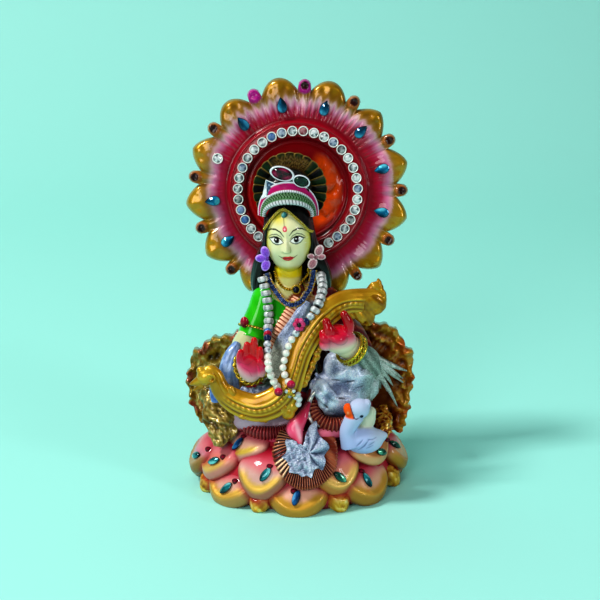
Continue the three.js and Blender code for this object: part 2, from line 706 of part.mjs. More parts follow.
function halo() {
  const size = HALO_RADIUS / HALO_DRAWN;
  const sectors = HALO_PETALS * HALO_EDGE.length;
  const edge = HALO_RADIUS;
  const rim = [
    [31 * size, -1],
    [edge, 0.4],
    [edge, 2.6],
    [42 * size, HALO_PLATE + 0.4],
    [31 * size, HALO_PLATE],
    [31 * size, -1],
  ];
  const outer = moved(new THREE.LatheGeometry(rim.map(([x, y]) => new THREE.Vector2(x, y)), sectors), (v) => {
    const turn = Math.atan2(v.x, v.z) / (2 * Math.PI);
    const sector = Math.round(turn * sectors + sectors) % sectors;
    const petalIndex = Math.floor(sector / HALO_EDGE.length);
    const offset = HALO_EDGE[sector % HALO_EDGE.length];
    const radius = Math.hypot(v.x, v.z);
    const reach = radius > edge - 0.01 ? haloRim(offset) : radius;
    return haloPoint(haloAngle(petalIndex, offset), reach, v.y);
  });
  const back = [
    [0, -0.6],
    [33 * size, -0.6],
    [33.6 * size, 3.4],
  ].map(([radius, height]) => new THREE.Vector2(radius, height));
  return joined([solid(outer), turnedDisc([...back, ...dishProfile(0)], 24)]);
}

// A drop gem is glued to each petal that shows. A round rhinestone stands where one drop was lost.
const MENDED_PETAL = 11;

function haloGems() {
  const made = {};
  for (let index = 0; index < HALO_PETALS; index++) {
    if (index >= HALO_SHOWN && index < HALO_PETALS - HALO_SHOWN) continue;
    const isRound = index === MENDED_PETAL;
    const angle = haloAngle(index);
    const lift = HALO_PLATE + 0.4 + GLUE_GAP + (isRound ? GEM_RISE / 2 : 0.3);
    const point = haloPoint(angle, 0.76 * HALO_RADIUS, lift);
    const along = haloPoint(angle, 1, 0).sub(haloPoint(angle, 0, 0));
    const local = isRound ? rhinestone(RHINESTONE_RADIUS) : gem(HALO_GEM_LENGTH, HALO_GEM_WIDTH, true);
    const name = isRound ? "halo_mended_rhinestone" : `halo_drop_${String(index).padStart(2, "0")}`;
    made[name] = solid(placed(local, point, HALO_OUT, along));
  }
  return made;
}

// The row of rhinestones runs along the raised ring, from shoulder to shoulder, each just touching the
// next.
function rhinestoneRow() {
  const radius = (HALO_RING.middle * HALO_RADIUS) / HALO_DRAWN;
  const halfSpan = degrees(146);
  const count = Math.round((radius * halfSpan) / RHINESTONE_RADIUS);
  const strip = new THREE.BoxGeometry(1, 1, 1, 2 * count, 1, 1);
  return solid(
    moved(strip, (v) => {
      const isTouch = Math.round((0.5 + v.x) * 2 * count) % 2 === 0;
      const top = v.y > 0;
      const half = RHINESTONE_RADIUS * (isTouch ? 0.35 : 1) * (top ? 0.7 : 1);
      const height = HALO_RING.top + GLUE_GAP + (top ? GEM_RISE * (isTouch ? 0.6 : 1) : 0);
      return haloPoint(2 * v.x * halfSpan, radius + 2 * v.z * half, height);
    }),
  );
}

// Veena: a gilt boat and neck in one S, with a bird's head at one end, a scroll at the other and a drop
// below
const VEENA_LINE = [
  [-38.4, -29.6, 60.4, 2.8, 2.8],
  [-33.4, -30, 52.6, 4.6, 3],
  [-26.8, -31, 48.2, 5.8, 3.4],
  [-19.1, -32, 46.2, 6.4, 3.8],
  [-12.4, -32.4, 47.8, 6.8, 3.8],
  [-7.2, -32, 51.6, 6.4, 3.6],
  [-3.6, -31, 57, 5.8, 3.4],
  [-1, -30, 64, 5, 3.2],
  [1.6, -28, 71.8, 5.2, 3],
  [6, -26, 79.6, 5.6, 3],
  [12.1, -24, 86.9, 5.8, 3],
  [19.7, -21, 91.6, 5.4, 3],
  [27.9, -18, 91.8, 5.6, 3],
  [34.6, -16, 90, 6.4, 3.2],
  [38.4, -15, 88, 3.4, 2.6],
];
const VEENA_FRILL = [
  [3.4, -29.6, 60],
  [5.6, -28.6, 66],
  [8.4, -27, 71.4],
];

function veena(grow = 0) {
  const beak = [
    [-42, -30, 59.6, 2.8, 2.4],
    [-45.4, -30, 56, 2, 1.6],
    [-47.8, -30, 53.6, 0.6, 0.6],
  ];
  const leafTip = [
    [35.6, -15, 93, 3.4, 2.4],
    [37, -15, 97, 2.2, 1.8],
    [36.4, -15, 100.4, 0.5, 0.6],
  ];
  return joined([
    limb(BODY, VEENA_LINE, { sides: 8, steps: 18, grow }),
    egg(BODY, [-40, -30, 61.6], [5, 3.8, 4.6], { sides: 7, rings: 5, grow }),
    egg(BODY, [-36.4, -29.6, 64.6], [3.6, 2.8, 2.4], { turn: [0, 30, 0], sides: 6, rings: 4, grow }),
    limb(BODY, beak, { steps: 2, sides: 5, grow }),
    egg(BODY, [-3.8, -32, 45.2], [4.6, 3.6, 4.6], { sides: 7, rings: 4, grow }),
    egg(BODY, [-24.5, -32, 42], [2.6, 2.4, 1.8], { sides: 5, rings: 3, grow }),
    egg(BODY, [-16, -32.5, 40.6], [2.4, 2.4, 1.8], { sides: 5, rings: 3, grow }),
    limb(BODY, leafTip, { steps: 2, sides: 5, grow }),
    egg(BODY, [32, -15.4, 84.4], [6, 2.6, 4.4], { turn: [0, -35, 0], sides: 7, rings: 4, grow }),
    ...VEENA_FRILL.map((centre) => egg(BODY, centre, [2.2, 1.6, 2.8], { sides: 5, rings: 3, grow })),
  ]);
}

// Swan, drawn from its own foot and set down on the petals by the raised knee
const SWAN_FOOT = new THREE.Vector3(0.28 * LOTUS_WIDTH, -0.35 * LOTUS_DEPTH, 0.86 * SEAT_HEIGHT);
const SWAN = drawing(SWAN_FOOT, SWAN_HEIGHT / 29);

function swan(grow = 0) {
  const neck = [
    [-5, -1.6, 5, 5.4, 4.8],
    [-7.2, -2, 10.6, 3.9, 3.8],
    [-4, -2, 15.6, 3.2, 3.2],
    [-0.4, -2, 19.4, 3.2, 3.2],
    [-0.6, -2.2, 23, 3.6, 3.6],
  ];
  const tail = [
    [5, 0.4, 7, 5, 4.4],
    [9, 0.4, 8.4, 3, 3],
    [12, 0, 10, 0.5, 0.8],
  ];
  const beak = [
    [-4.4, -3, 23.4, 2.8, 2.4],
    [-7.2, -4, 21.8, 2, 1.7],
    [-8, -4.4, 18.6, 0.5, 0.6],
  ];
  const wing = [
    [3, 2.6, 9, 4.4, 2.4],
    [5.6, 2.8, 15, 3.8, 2],
    [4.8, 2.4, 20, 3, 1.8],
    [3.4, 2, 23.4, 1, 1],
  ];
  return joined([
    egg(SWAN, [-1, 0, 6.6], [9.6, 6.4, 6.4], { turn: [0, -8, 0], sides: 9, rings: 5, grow }),
    egg(SWAN, [-1, -2.2, 23.8], [5, 4.4, 4.9], { turn: [0, 15, 0], sides: 7, rings: 5, grow }),
    limb(SWAN, neck, { steps: 6, grow }),
    limb(SWAN, tail, { sides: 6, steps: 2, facing: [0, 0, 1], grow }),
    limb(SWAN, beak, { sides: 5, steps: 2, grow }),
    limb(SWAN, wing, { sides: 5, steps: 3, grow }),
  ]);
}

// Head dress: a pleated fan behind the bun, a beaded tiara with its crest, and two gems on the crest
function crownFan() {
  const pleats = 26;
  const surface = (u, v) => {
    const angle = degrees(lerp(-36, 216, u));
    const step = Math.round(u * pleats) % 2;
    const reach = lerp(5, 17, v) + (v === 1 ? step * 0.6 : 0);
    const depth = (step ? 0.5 : -0.5) * v - 1.6 * v;
    return BODY.at(-3.6 - Math.cos(angle) * reach, 9 + depth, 137.4 + Math.sin(angle) * reach);
  };
  return sheet(pleats, 1, FAN_SHEET, surface);
}

// The slot for the fan has plain faces, clear of its pleats.
function crownFanBed() {
  const surface = (u, v) => {
    const angle = degrees(lerp(-40, 220, u));
    const reach = lerp(4.4, 19, v);
    return BODY.at(-3.6 - Math.cos(angle) * reach, 9 - 1.6 * v, 137.4 + Math.sin(angle) * reach);
  };
  return sheet(6, 1, FAN_SHEET + 1 + 2 * GLUE_GAP, surface);
}

// The braid of the tiara lies between two half ellipses over a middle [x, z], given by their half widths
// and heights.
const TIARA = {
  middle: [-4.3, 128],
  inner: [10.6, 6.5],
  outer: [12.9, 15.8],
  swing: 95,
  front: -13,
  lean: 4,
  wrap: 0.055,
};
const CREST = [
  [-14, -5, 138, 3, 1.4],
  [-9, -7, 144.6, 5.2, 1.5],
  [-1, -7, 144.6, 4.8, 1.5],
  [6, -5, 139, 3, 1.4],
];

function tiara(grow = 0) {
  const { middle, inner, outer, swing, front, lean, wrap } = TIARA;
  const arch = (u, v, spare) => {
    const turn = degrees((swing + 2 * spare) * (2 * u - 1));
    const share = v + (v === 0 ? -spare : spare) / (outer[1] - inner[1]);
    const x = Math.sin(turn) * lerp(inner[0], outer[0], share);
    const z = middle[1] + Math.cos(turn) * lerp(inner[1], outer[1], share);
    return BODY.at(middle[0] + x, front + wrap * x * x + lean * v, z);
  };
  return joined([sheet(12, 1, TIARA_SHEET, arch, { grow }), limb(BODY, CREST, { sides: 6, grow })]);
}

const CREST_GEMS = {
  crown_gem_red: { centre: [-6.9, -10, 147.8], half: [5.5, 1.3, 3.1], lean: 15 },
  crown_gem_green: { centre: [1.6, -10.1, 144.4], half: [3.8, 1.2, 2.6], lean: 18 },
};

// Jewellery that goes round or hangs on the body
const EARRINGS = {
  earring_right: { centre: [-15.4, -8.6, 109], lobes: [[0.6, 2.8, 2.2], [-1.6, -0.2, 2], [0.8, -3.2, 2.1]] },
  earring_left: { centre: [9.6, -8.6, 110.4], lobes: [[1.4, 2.6, 2.1], [0.8, -0.6, 2], [-1.8, -3.2, 2.3]] },
};

function earring({ centre: [x, y, z], lobes }) {
  const petals = lobes.map(([right, up, radius]) =>
    egg(BODY, [x + right, y, z + up], [radius, 0.9, radius], { sides: 6, rings: 3 }),
  );
  return joined([egg(BODY, [x, y, z], [1.6, 0.8, 2.2], { sides: 5, rings: 3 }), ...petals]);
}

// A wire ring round a wrist or an arm that runs along `axis`.
function ring(centre, axis, radius, wire, grow) {
  const torus = new THREE.TorusGeometry(radius * BODY.share, wire + grow, 4, 12);
  const spin = new THREE.Quaternion().setFromUnitVectors(
    new THREE.Vector3(0, 0, 1),
    new THREE.Vector3(...axis).normalize(),
  );
  const middle = BODY.at(...centre);
  return solid(moved(torus, (v) => v.applyQuaternion(spin).add(middle)));
}

const RINGS = {
  bangle_right: (grow) => ring([-20.6, -25, 63.5], [0, -1, 0.12], 7.6, BANGLE_WIRE, grow),
  bangle_left: (grow) => ring([24.3, -21.2, 70], [-0.67, -0.43, 0.61], 7.2, BANGLE_WIRE, grow),
  armlet: (grow) => ring([-19.8, -5.1, 75.6], [0.33, 0.33, 0.88], 7.2, CHAIN_RADIUS, grow),
};

// A smooth line that lies on the front of the solids behind it. Its points are [x, z] in the drawing,
// and it stands off by `clear`. It bridges hollows of up to `bridged` samples each way instead of
// sinking into them.
function laidLine(behind, points, clear, { samples = 24, bridged = 6 } = {}) {
  const flat = new THREE.CatmullRomCurve3(points.map(([x, z]) => BODY.at(x, 0, z)));
  const ray = new THREE.Raycaster();
  const forward = new THREE.Vector3(0, 1, 0);
  const line = flat.getSpacedPoints(samples).map((p) => {
    const near = [-1, 0, 1].flatMap((side) => {
      ray.set(new THREE.Vector3(p.x + side * clear * 0.8, -4 * LOTUS_DEPTH, p.z), forward);
      return ray.intersectObjects(behind).map((hit) => hit.point.y);
    });
    return p.setY(Math.min(...near) - clear);
  });
  const taut = line.map((p, i) => {
    let y = p.y;
    for (let a = Math.max(i - bridged, 0); a < i; a++) {
      for (let b = i + 1; b < Math.min(i + bridged, line.length); b++) {
        y = Math.min(y, lerp(line[a].y, line[b].y, (i - a) / (b - a)));
      }
    }
    return p.clone().setY(y);
  });
  return new THREE.CatmullRomCurve3(taut);
}

const NECK_CHAIN = [[-9.4, 98.1], [-6.3, 94.8], [-2.6, 94.3], [1, 96.2], [4.2, 100]];
const COLLAR = [[-13.9, 100.1], [-10.3, 94], [-6.7, 89.9], [-3.1, 88.5], [1, 89.7], [4.6, 93.5], [6.4, 98.7]];
const TIKKA = [[-15, 122], [-11.8, 127], [-6.4, 131.4], [0.2, 127.3], [6.4, 121.6]];
const RIGHT_STRAND = [
  [-16.3, 100.4],
  [-14.2, 91.4],
  [-13.1, 82.4],
  [-13.5, 75.8],
  [-12.8, 67],
  [-11.2, 61.6],
  [-8.4, 56.4],
];
const LEFT_STRAND = [
  [10, 101.8],
  [11, 97.5],
  [7.8, 90.5],
  [1.4, 83],
  [-3.5, 76.3],
  [-6.2, 67.5],
  [-6.2, 64],
  [-3.4, 58.6],
];
const RONDELLE_SHARE = 0.4; // of a strand, from its neck end

function strand(line, grow) {
  const mean = lerp(2 * PEARL_RADIUS, RONDELLE_LENGTH, RONDELLE_SHARE);
  const count = Math.round(line.getLength() / mean);
  return beadString(line, count, (t) => (t < RONDELLE_SHARE ? RONDELLE_RADIUS : PEARL_RADIUS), { grow });
}

function wire(line, radius, grow, links) {
  return beadString(line, links, () => radius, { sides: 4, grow, waist: 0.8 });
}

// Stones and beads that stand on whatever is behind their place at [x, z] in the drawing
const BOSSES = {
  pendant: { spot: [-0.8, 94.1], half: [2, 1.1, 2.2], look: "navy" },
  tikka_gem: { spot: [-6, 129], half: [1.4, 0.7, 1.6], look: "teal" },
  armlet_gem: { spot: [-24.4, 79.2], half: [1.9, 1, 2.6], look: "red" },
  garland_rosette: { spot: [0.6, 85], half: [3, 1.4, 3.6], look: "red" },
  garland_bead_right: { spot: [-8.4, 56.4], half: [1.9, 1.9, 1.9], look: "red" },
  garland_bead_left: { spot: [-2.9, 59.9], half: [1.9, 1.9, 1.9], look: "red" },
  garland_clasp: { spot: [-3.4, 54.8], half: [2.6, 1, 2.6], look: "gilt" },
  garland_tassel: { spot: [0.2, 50.8], half: [1.7, 1.4, 3], look: "clear" },
};

function boss(behind, { spot: [x, z], half }) {
  const ray = new THREE.Raycaster();
  const forward = new THREE.Vector3(0, 1, 0);
  const fronts = [-1, -0.5, 0, 0.5, 1].flatMap((side) =>
    [-1, -0.5, 0, 0.5, 1].flatMap((up) => {
      const from = BODY.at(x + side * half[0], 0, z + up * half[2]).setY(-4 * LOTUS_DEPTH);
      ray.set(from, forward);
      return ray.intersectObjects(behind).map((hit) => hit.point.y);
    }),
  );
  const front = Math.min(...fronts) - GLUE_GAP;
  return egg(BODY, [x, front / BODY.share - half[1], z], half, { sides: 8, rings: 4 });
}

// Putting together, from the cast figure outwards. What is glued on is cut out of what it is glued to,
// with the gap.
const casting = joined([
  lotus(),
  torso(),
  hair(),
  headAndNeck(),
  rightArm(),
  rightHand(),
  leftArm(),
  leftHand(),
  lap(),
  skirtFan(),
  leaf(LEFT_LEAF),
  leaf(RIGHT_LEAF),
  spills(),
  tails(),
  sash(),
  back(),
]);
const grownPieces = [veena, swan, tiara, ...Object.values(RINGS)].map((piece) => piece(GLUE_GAP));
let figure = cut(casting, [haloBed(), crownFanBed(), ...grownPieces]);

function probe(...solids) {
  return solids.map((made) => new THREE.Mesh(geometryOf(made)));
}

const veenaSolid = veena();
const chainLine = laidLine(probe(figure), NECK_CHAIN, CHAIN_RADIUS + GLUE_GAP);
const collarLine = laidLine(probe(figure), COLLAR, COLLAR_BEAD_RADIUS + GLUE_GAP);
const tikkaLine = laidLine(probe(figure), TIKKA, CHAIN_RADIUS + GLUE_GAP);
const neckChain = (grow) => wire(chainLine, CHAIN_RADIUS, grow, 5);
const collar = (grow) => wire(collarLine, COLLAR_BEAD_RADIUS, grow, 10);
const tikkaChain = (grow) => wire(tikkaLine, CHAIN_RADIUS, grow, 7);
const behindStrands = probe(figure, veenaSolid, collar(0), neckChain(0));
const rightLine = laidLine(behindStrands, RIGHT_STRAND, RONDELLE_RADIUS + GLUE_GAP);
const leftLine = laidLine(behindStrands, LEFT_STRAND, RONDELLE_RADIUS + GLUE_GAP);
const grownStrands = [strand(rightLine, GLUE_GAP), strand(leftLine, GLUE_GAP)];
figure = cut(figure, [neckChain(GLUE_GAP), collar(GLUE_GAP), tikkaChain(GLUE_GAP), ...grownStrands]);

const LOOKS = {
  figure: [0xd2556a, 0.3, 0],
  halo: [0xb3304a, 0.25, 0],
  gilt: [0xd9a520, 0.35, 0.5],
  swan: [0xdfe4f4, 0.6, 0],
  fan: [0x2a2412, 0.5, 0],
  tiara: [0xc0206e, 0.6, 0],
  teal: [0x1f7f86, 0.1, 0],
  clear: [0xdfe6ee, 0.1, 0],
  pearl: [0xeceae6, 0.3, 0],
  navy: [0x1c2350, 0.35, 0],
  red: [0x7a0f24, 0.15, 0],
  green: [0x0f3a28, 0.15, 0],
  lavender: [0xb78ff0, 0.6, 0],
  pink: [0xd8a0a8, 0.5, 0],
};

const group = new THREE.Group();

function addPiece(name, made, lookName) {
  const [color, roughness, metalness] = LOOKS[lookName];
  const material = new THREE.MeshStandardMaterial({ color, roughness, metalness });
  const mesh = new THREE.Mesh(geometryOf(made), material);
  mesh.name = name;
  group.add(mesh);
  return mesh;
}

const figureMesh = addPiece("figure", figure, "figure");
addPiece("halo", halo(), "halo");
addPiece("halo_rhinestones", rhinestoneRow(), "clear");
for (const [name, made] of Object.entries(haloGems())) {
  addPiece(name, made, name.includes("drop") ? "teal" : "clear");
}
PETALS.filter((petal) => petal.gem).forEach((petal, i) => {
  addPiece(`lotus_gem_${String(i).padStart(2, "0")}`, lotusGem(petal, [figureMesh]), "teal");
});
addPiece("veena", cut(veenaSolid, grownStrands), "gilt");
addPiece("swan", swan(), "swan");
addPiece("crown_fan", crownFan(), "fan");
addPiece("tiara", tiara(), "tiara");
for (const [name, { centre, half, lean }] of Object.entries(CREST_GEMS)) {
  const look = name.endsWith("red") ? "red" : "green";
  addPiece(name, egg(BODY, centre, half, { turn: [0, lean, 0], rings: 4 }), look);
}
addPiece("earring_right", earring(EARRINGS.earring_right), "lavender");
addPiece("earring_left", earring(EARRINGS.earring_left), "pink");
for (const [name, make] of Object.entries(RINGS)) addPiece(name, make(0), "gilt");
addPiece("neck_chain", neckChain(0), "gilt");
addPiece("bead_collar", collar(0), "navy");
addPiece("tikka_chain", tikkaChain(0), "gilt");
addPiece("garland_right", strand(rightLine, 0), "pearl");
addPiece("garland_left", strand(leftLine, 0), "pearl");
for (const [name, shape] of Object.entries(BOSSES)) addPiece(name, boss(group.children, shape), shape.look);

export default group;
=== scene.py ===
import math
import bmesh
import bpy
import numpy as np
from mathutils import Matrix, Vector
from mathutils.bvhtree import BVHTree


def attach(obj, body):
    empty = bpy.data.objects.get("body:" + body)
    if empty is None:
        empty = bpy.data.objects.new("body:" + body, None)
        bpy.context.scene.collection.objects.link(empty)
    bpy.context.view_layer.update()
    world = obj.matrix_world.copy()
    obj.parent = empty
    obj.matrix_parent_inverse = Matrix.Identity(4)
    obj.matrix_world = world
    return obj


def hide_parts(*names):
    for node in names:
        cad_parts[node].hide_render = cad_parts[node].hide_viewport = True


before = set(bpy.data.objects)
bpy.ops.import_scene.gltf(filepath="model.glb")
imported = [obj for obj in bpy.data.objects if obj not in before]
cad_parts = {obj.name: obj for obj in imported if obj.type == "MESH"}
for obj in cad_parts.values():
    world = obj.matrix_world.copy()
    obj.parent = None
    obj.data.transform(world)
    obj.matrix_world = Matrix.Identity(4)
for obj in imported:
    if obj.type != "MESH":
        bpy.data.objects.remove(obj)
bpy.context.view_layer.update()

# Table, light and camera
# The figure stands on a pale aqua sweep of paper that curves up behind it.
# A big soft window of light stands to the front left, a weaker one to the right and one above.
def lamp(name, place, aim, size, watts, colour):
    light = bpy.data.lights.new(name, "AREA")
    light.shape = "RECTANGLE"
    light.size, light.size_y = size
    light.energy = watts
    light.color = colour
    thing = bpy.data.objects.new(name, light)
    thing.location = place
    thing.rotation_euler = (Vector(aim) - Vector(place)).to_track_quat("-Z", "Y").to_euler()
    bpy.context.scene.collection.objects.link(thing)


def paper_sweep():
    across, along = 6, 40
    flat, bend = 0.55, 0.25
    points = []
    for j in range(along + 1):
        t = j / along
        if t < flat:
            y, z = -1.6 + 2.2 * t / flat, 0.0
        elif t < flat + bend:
            turn = (t - flat) / bend * math.pi / 2
            y, z = 0.6 + 0.5 * math.sin(turn), 0.5 - 0.5 * math.cos(turn)
        else:
            y, z = 1.1, 0.5 + 2.0 * (t - flat - bend) / (1 - flat - bend)
        points += [((i / across - 0.5) * 5, y, z) for i in range(across + 1)]
    faces = [
        (
            j * (across + 1) + i, j * (across + 1) + i + 1, (j + 1) * (across + 1) + i + 1,
            (j + 1) * (across + 1) + i
        )
        for j in range(along) for i in range(across)
    ]
    mesh = bpy.data.meshes.new("paper_sweep")
    mesh.from_pydata(points, [], faces)
    mesh.shade_smooth()
    sweep = bpy.data.objects.new("paper_sweep", mesh)
    bpy.context.scene.collection.objects.link(sweep)
    paper = bpy.data.materials.new("aqua_paper")
    paper.use_nodes = True
    shader = paper.node_tree.nodes["Principled BSDF"]
    shader.inputs["Base Color"].default_value = (0.36, 0.8, 0.73, 1)
    shader.inputs["Roughness"].default_value = 0.7
    mesh.materials.append(paper)


paper_sweep()
lamp("window_left", (-1.5, -0.32, 2.3), (0, 0, 0.08), (0.46, 0.46), 49, (1.0, 0.98, 0.95))
lamp("window_front", (-0.42, -0.95, 0.56), (0, 0, 0.09), (0.42, 0.6), 4.2, (1.0, 0.99, 0.97))
lamp("window_right", (0.8, -0.55, 0.4), (0, 0, 0.09), (0.14, 0.36), 2.2, (0.95, 0.98, 1.0))
lamp("ceiling", (0.0, 0.15, 1.3), (0, 0, 0.05), (1.2, 1.2), 0.8, (1.0, 1.0, 1.0))
bpy.context.scene.view_settings.view_transform = "Standard"
bpy.context.scene.view_settings.look = "Medium High Contrast"
world = bpy.data.worlds.new("room")
world.use_nodes = True
world.node_tree.nodes["Background"].inputs["Color"].default_value = (0.85, 0.9, 0.9, 1)
world.node_tree.nodes["Background"].inputs["Strength"].default_value = 0.12
bpy.context.scene.world = world

EYE = (1, -489.5, 234.8)
lens = bpy.data.cameras.new("camera")
lens.sensor_width = 36
lens.lens = 66
camera = bpy.data.objects.new("camera", lens)
camera.location = Vector(EYE) / 1000
camera.rotation_euler = (math.radians(90 - 16.85), 0, 0)
bpy.context.scene.collection.objects.link(camera)
bpy.context.scene.camera = camera

# Lotus pedestal
# Plump resin petals in tiers, cast in one with the figure, and airbrushed from crimson at the root
# through pink and peach to a brushed gold rim, all under clear lacquer.
LOTUS_WIDTH, LOTUS_DEPTH, LOTUS_BACK, SEAT_HEIGHT = 104.0, 91.0, -4.0, 26.0
LOWER = dict(tip=1.0, half=(13, 14.5, 6.2), rise=7.6, tilt=32)
LOBE = dict(tip=0.97, half=(6, 5.5, 5), rise=4.5, tilt=4)
MIDDLE = dict(tip=0.97, half=(14, 12.5, 5.2), rise=16, tilt=42)
UPPER = dict(tip=0.86, half=(11, 13.5, 4.2), rise=24, tilt=30)
FACE, CRESCENT, LIP = "dc9c86", "c6963e", "a8782e"
PETALS = [
    dict(LOWER, angle=-134, gem=(0.5, 0.14, 42), paint=("d9a08e", "cfa446", "b08850"), combed=0.5),
    dict(LOWER, angle=-90, gem=(0.48, -0.05, 70), paint=("dfa08c", "cc9a38", "b68430")),
    dict(LOWER, angle=-45, rise=9, gem=(0.31, -0.2, -62), paint=("e0a488", "cc9a40", "a8762a"),
         combed=0.4),
    *[dict(LOWER, angle=angle) for angle in (10, 62, 118, 172)],
    *[dict(LOBE, angle=angle) for angle in (-155, -112, -66, -16)],
    dict(MIDDLE, angle=-171, tip=1.01, gem=(0.42, 0.4, 15), paint=("c8788c", "b88a5c", "946a30")),
    dict(MIDDLE, angle=-151, tip=0.96, rise=18, tilt=38, gem=(0.44, 0.31, 20),
         paint=("de7c6e", "e0b45e", "cc8478"), combed=1),
    dict(MIDDLE, angle=-112, rise=17.2, gem=(0.3, 0.25, 52), paint=("d4a49c", "cfa84c", "b0705c")),
    dict(MIDDLE, angle=-66, tip=0.94, rise=18.6, gem=(0.55, -0.01, -38),
         paint=("dc8468", "dab060", "bc7a3a")),
    dict(MIDDLE, angle=-2, tip=1.02, gem=(0.02, -0.59, -30), paint=("e09a68", "d88c54", "b0822c")),
    *[dict(MIDDLE, angle=angle) for angle in (50, 90, 136)],
    dict(UPPER, angle=-137, tip=0.79, rise=25.4, gem=(0.47, 0.02, 48),
         paint=("dea490", "d4b44a", "daa496")),
    dict(UPPER, angle=-34, tip=0.92, gem=(0.72, 0, -12), paint=("d4522a", "dc9058", "dca474")),
    *[dict(UPPER, angle=angle) for angle in (30, 90, 150)]
]
PETAL_DROOP = 2.2


def rgb(code):
    """A paint colour from its usual six figures, as light."""
    part = np.array([int(code[i : i + 2], 16) / 255 for i in (0, 2, 4)])
    return np.where(part <= 0.04045, part / 12.92, ((part + 0.055) / 1.055) ** 2.4)


def smooth_step(low, high, value):
    t = np.clip((np.asarray(value, float) - low) / (high - low), 0, 1)
    return t * t * (3 - 2 * t)


def blended(stops, value):
    """Colours that run into each other, given as (place, colour) along a value."""
    places = [place for place, _ in stops]
    return np.stack([np.interp(value, places, [rgb(c)[k] for _, c in stops]) for k in range(3)], -1)


def mix(a, b, amount):
    """Two paints run together, each an array of colours or a code."""
    a, b = (rgb(paint) if isinstance(paint, str) else paint for paint in (a, b))
    amount = np.asarray(amount, float)[..., None]
    return a * (1 - amount) + b * amount


def skin_of(rings):
    """Faces over a grid of points [ring, side], closed round each ring and capped at both ends."""
    n, m = rings.shape[:2]
    points = rings.reshape(-1, 3)
    i, j = np.meshgrid(np.arange(n - 1), np.arange(m), indexing="ij")
    a, b = i * m + j, i * m + (j + 1) % m
    faces = np.stack([a, b, b + m, a + m], -1).reshape(-1, 4).tolist()
    first, last = len(points), len(points) + 1
    points = np.vstack([points, rings[0].mean(0), rings[-1].mean(0)])
    faces += [(first, (k + 1) % m, k) for k in range(m)]
    faces += [(last, (n - 1) * m + k, (n - 1) * m + (k + 1) % m) for k in range(m)]
    return points, faces


def several(shells):
    """Some shells as one: their points, their faces, and where each one's points start."""
    points, faces, starts, count = [], [], [], 0
    for p, f in shells:
        points.append(p)
        faces += [tuple(k + count for k in face) for face in f]
        starts.append(count)
        count += len(p)
    return np.vstack(points), faces, starts


def piece(name, points, faces, finish, slot, stands_for, paint=None, gilt=None, flat=False):
    """Makes one piece from points in millimetres, with the paint and the gilding at each of them."""
    mesh = bpy.data.meshes.new(name)
    mesh.from_pydata((np.asarray(points) * 0.001).tolist(), [], [tuple(f) for f in faces])
    made = bmesh.new()
    made.from_mesh(mesh)
    bmesh.ops.recalc_face_normals(made, faces=made.faces)
    made.to_mesh(mesh)
    made.free()
    if not flat:
        mesh.shade_smooth()
    dress(mesh, paint, gilt)
    thing = bpy.data.objects.new(name, mesh)
    bpy.context.scene.collection.objects.link(thing)
    mesh.materials.append(finish)
    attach(thing, "root")
    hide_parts(*stands_for)
    return thing


def cast(name, points, faces, finish, paint, gilt=0.0):
    """A part of the one painted casting."""
    return piece(name, points, faces, finish, "painted_casting", ["figure"], paint, gilt)


def dress(mesh, paint, gilt):
    count = len(mesh.vertices)
    if paint is not None:
        layer = mesh.attributes.new("paint", "FLOAT_COLOR", "POINT")
        colours = np.ones((count, 4))
        colours[:, :3] = rgb(paint) if isinstance(paint, str) else paint
        layer.data.foreach_set("color", colours.astype(np.float32).ravel())
    if gilt is not None:
        layer = mesh.attributes.new("gilt", "FLOAT", "POINT")
        layer.data.foreach_set("value", np.broadcast_to(gilt, (count,)).astype(np.float32).ravel())


def lacquer(name, rough=0.28, coat=0.7, bump=0.08, grain=900, mottle=0.12):
    """Hand-laid paint under clear lacquer: uneven colour, brush texture, and gold where the gilt is."""
    finish = bpy.data.materials.new(name)
    finish.use_nodes = True
    tree = finish.node_tree
    shader = tree.nodes["Principled BSDF"]
    shader.inputs["Coat Weight"].default_value = coat
    shader.inputs["Coat Roughness"].default_value = 0.05
    shader.inputs["Coat IOR"].default_value = 1.34
    shader.inputs["Specular IOR Level"].default_value = 0.12

    def node(kind, **settings):
        made = tree.nodes.new(kind)
        for key, value in settings.items():
            setattr(made, key, value)
        return made

    def link(a, b):
        tree.links.new(a, b)

    place = node("ShaderNodeTexCoord")
    paint = node("ShaderNodeAttribute", attribute_name="paint")
    gilt = node("ShaderNodeAttribute", attribute_name="gilt")
    cloudy = node("ShaderNodeTexNoise")
    cloudy.inputs["Scale"].default_value = 160
    cloudy.inputs["Detail"].default_value = 4
    link(place.outputs["Object"], cloudy.inputs["Vector"])
    shade = node("ShaderNodeMapRange")
    shade.inputs["To Min"].default_value = 1 - mottle
    shade.inputs["To Max"].default_value = 1 + mottle
    link(cloudy.outputs["Fac"], shade.inputs["Value"])
    tinted = node("ShaderNodeVectorMath", operation="SCALE")
    link(paint.outputs["Color"], tinted.inputs[0])
    link(shade.outputs["Result"], tinted.inputs["Scale"])
    link(tinted.outputs["Vector"], shader.inputs["Base Color"])
    fine = node("ShaderNodeTexNoise")
    fine.inputs["Scale"].default_value = grain
    fine.inputs["Detail"].default_value = 3
    link(place.outputs["Object"], fine.inputs["Vector"])
    roughness = node("ShaderNodeMapRange")
    roughness.inputs["To Min"].default_value = rough - 0.05
    roughness.inputs["To Max"].default_value = rough + 0.1
    link(fine.outputs["Fac"], roughness.inputs["Value"])
    link(roughness.outputs["Result"], shader.inputs["Roughness"])
    link(gilt.outputs["Fac"], shader.inputs["Metallic"])
    relief = node("ShaderNodeBump")
    relief.inputs["Strength"].default_value = bump
    relief.inputs["Distance"].default_value = 0.0004
    link(fine.outputs["Fac"], relief.inputs["Height"])
    link(relief.outputs["Normal"], shader.inputs["Normal"])
    return finish


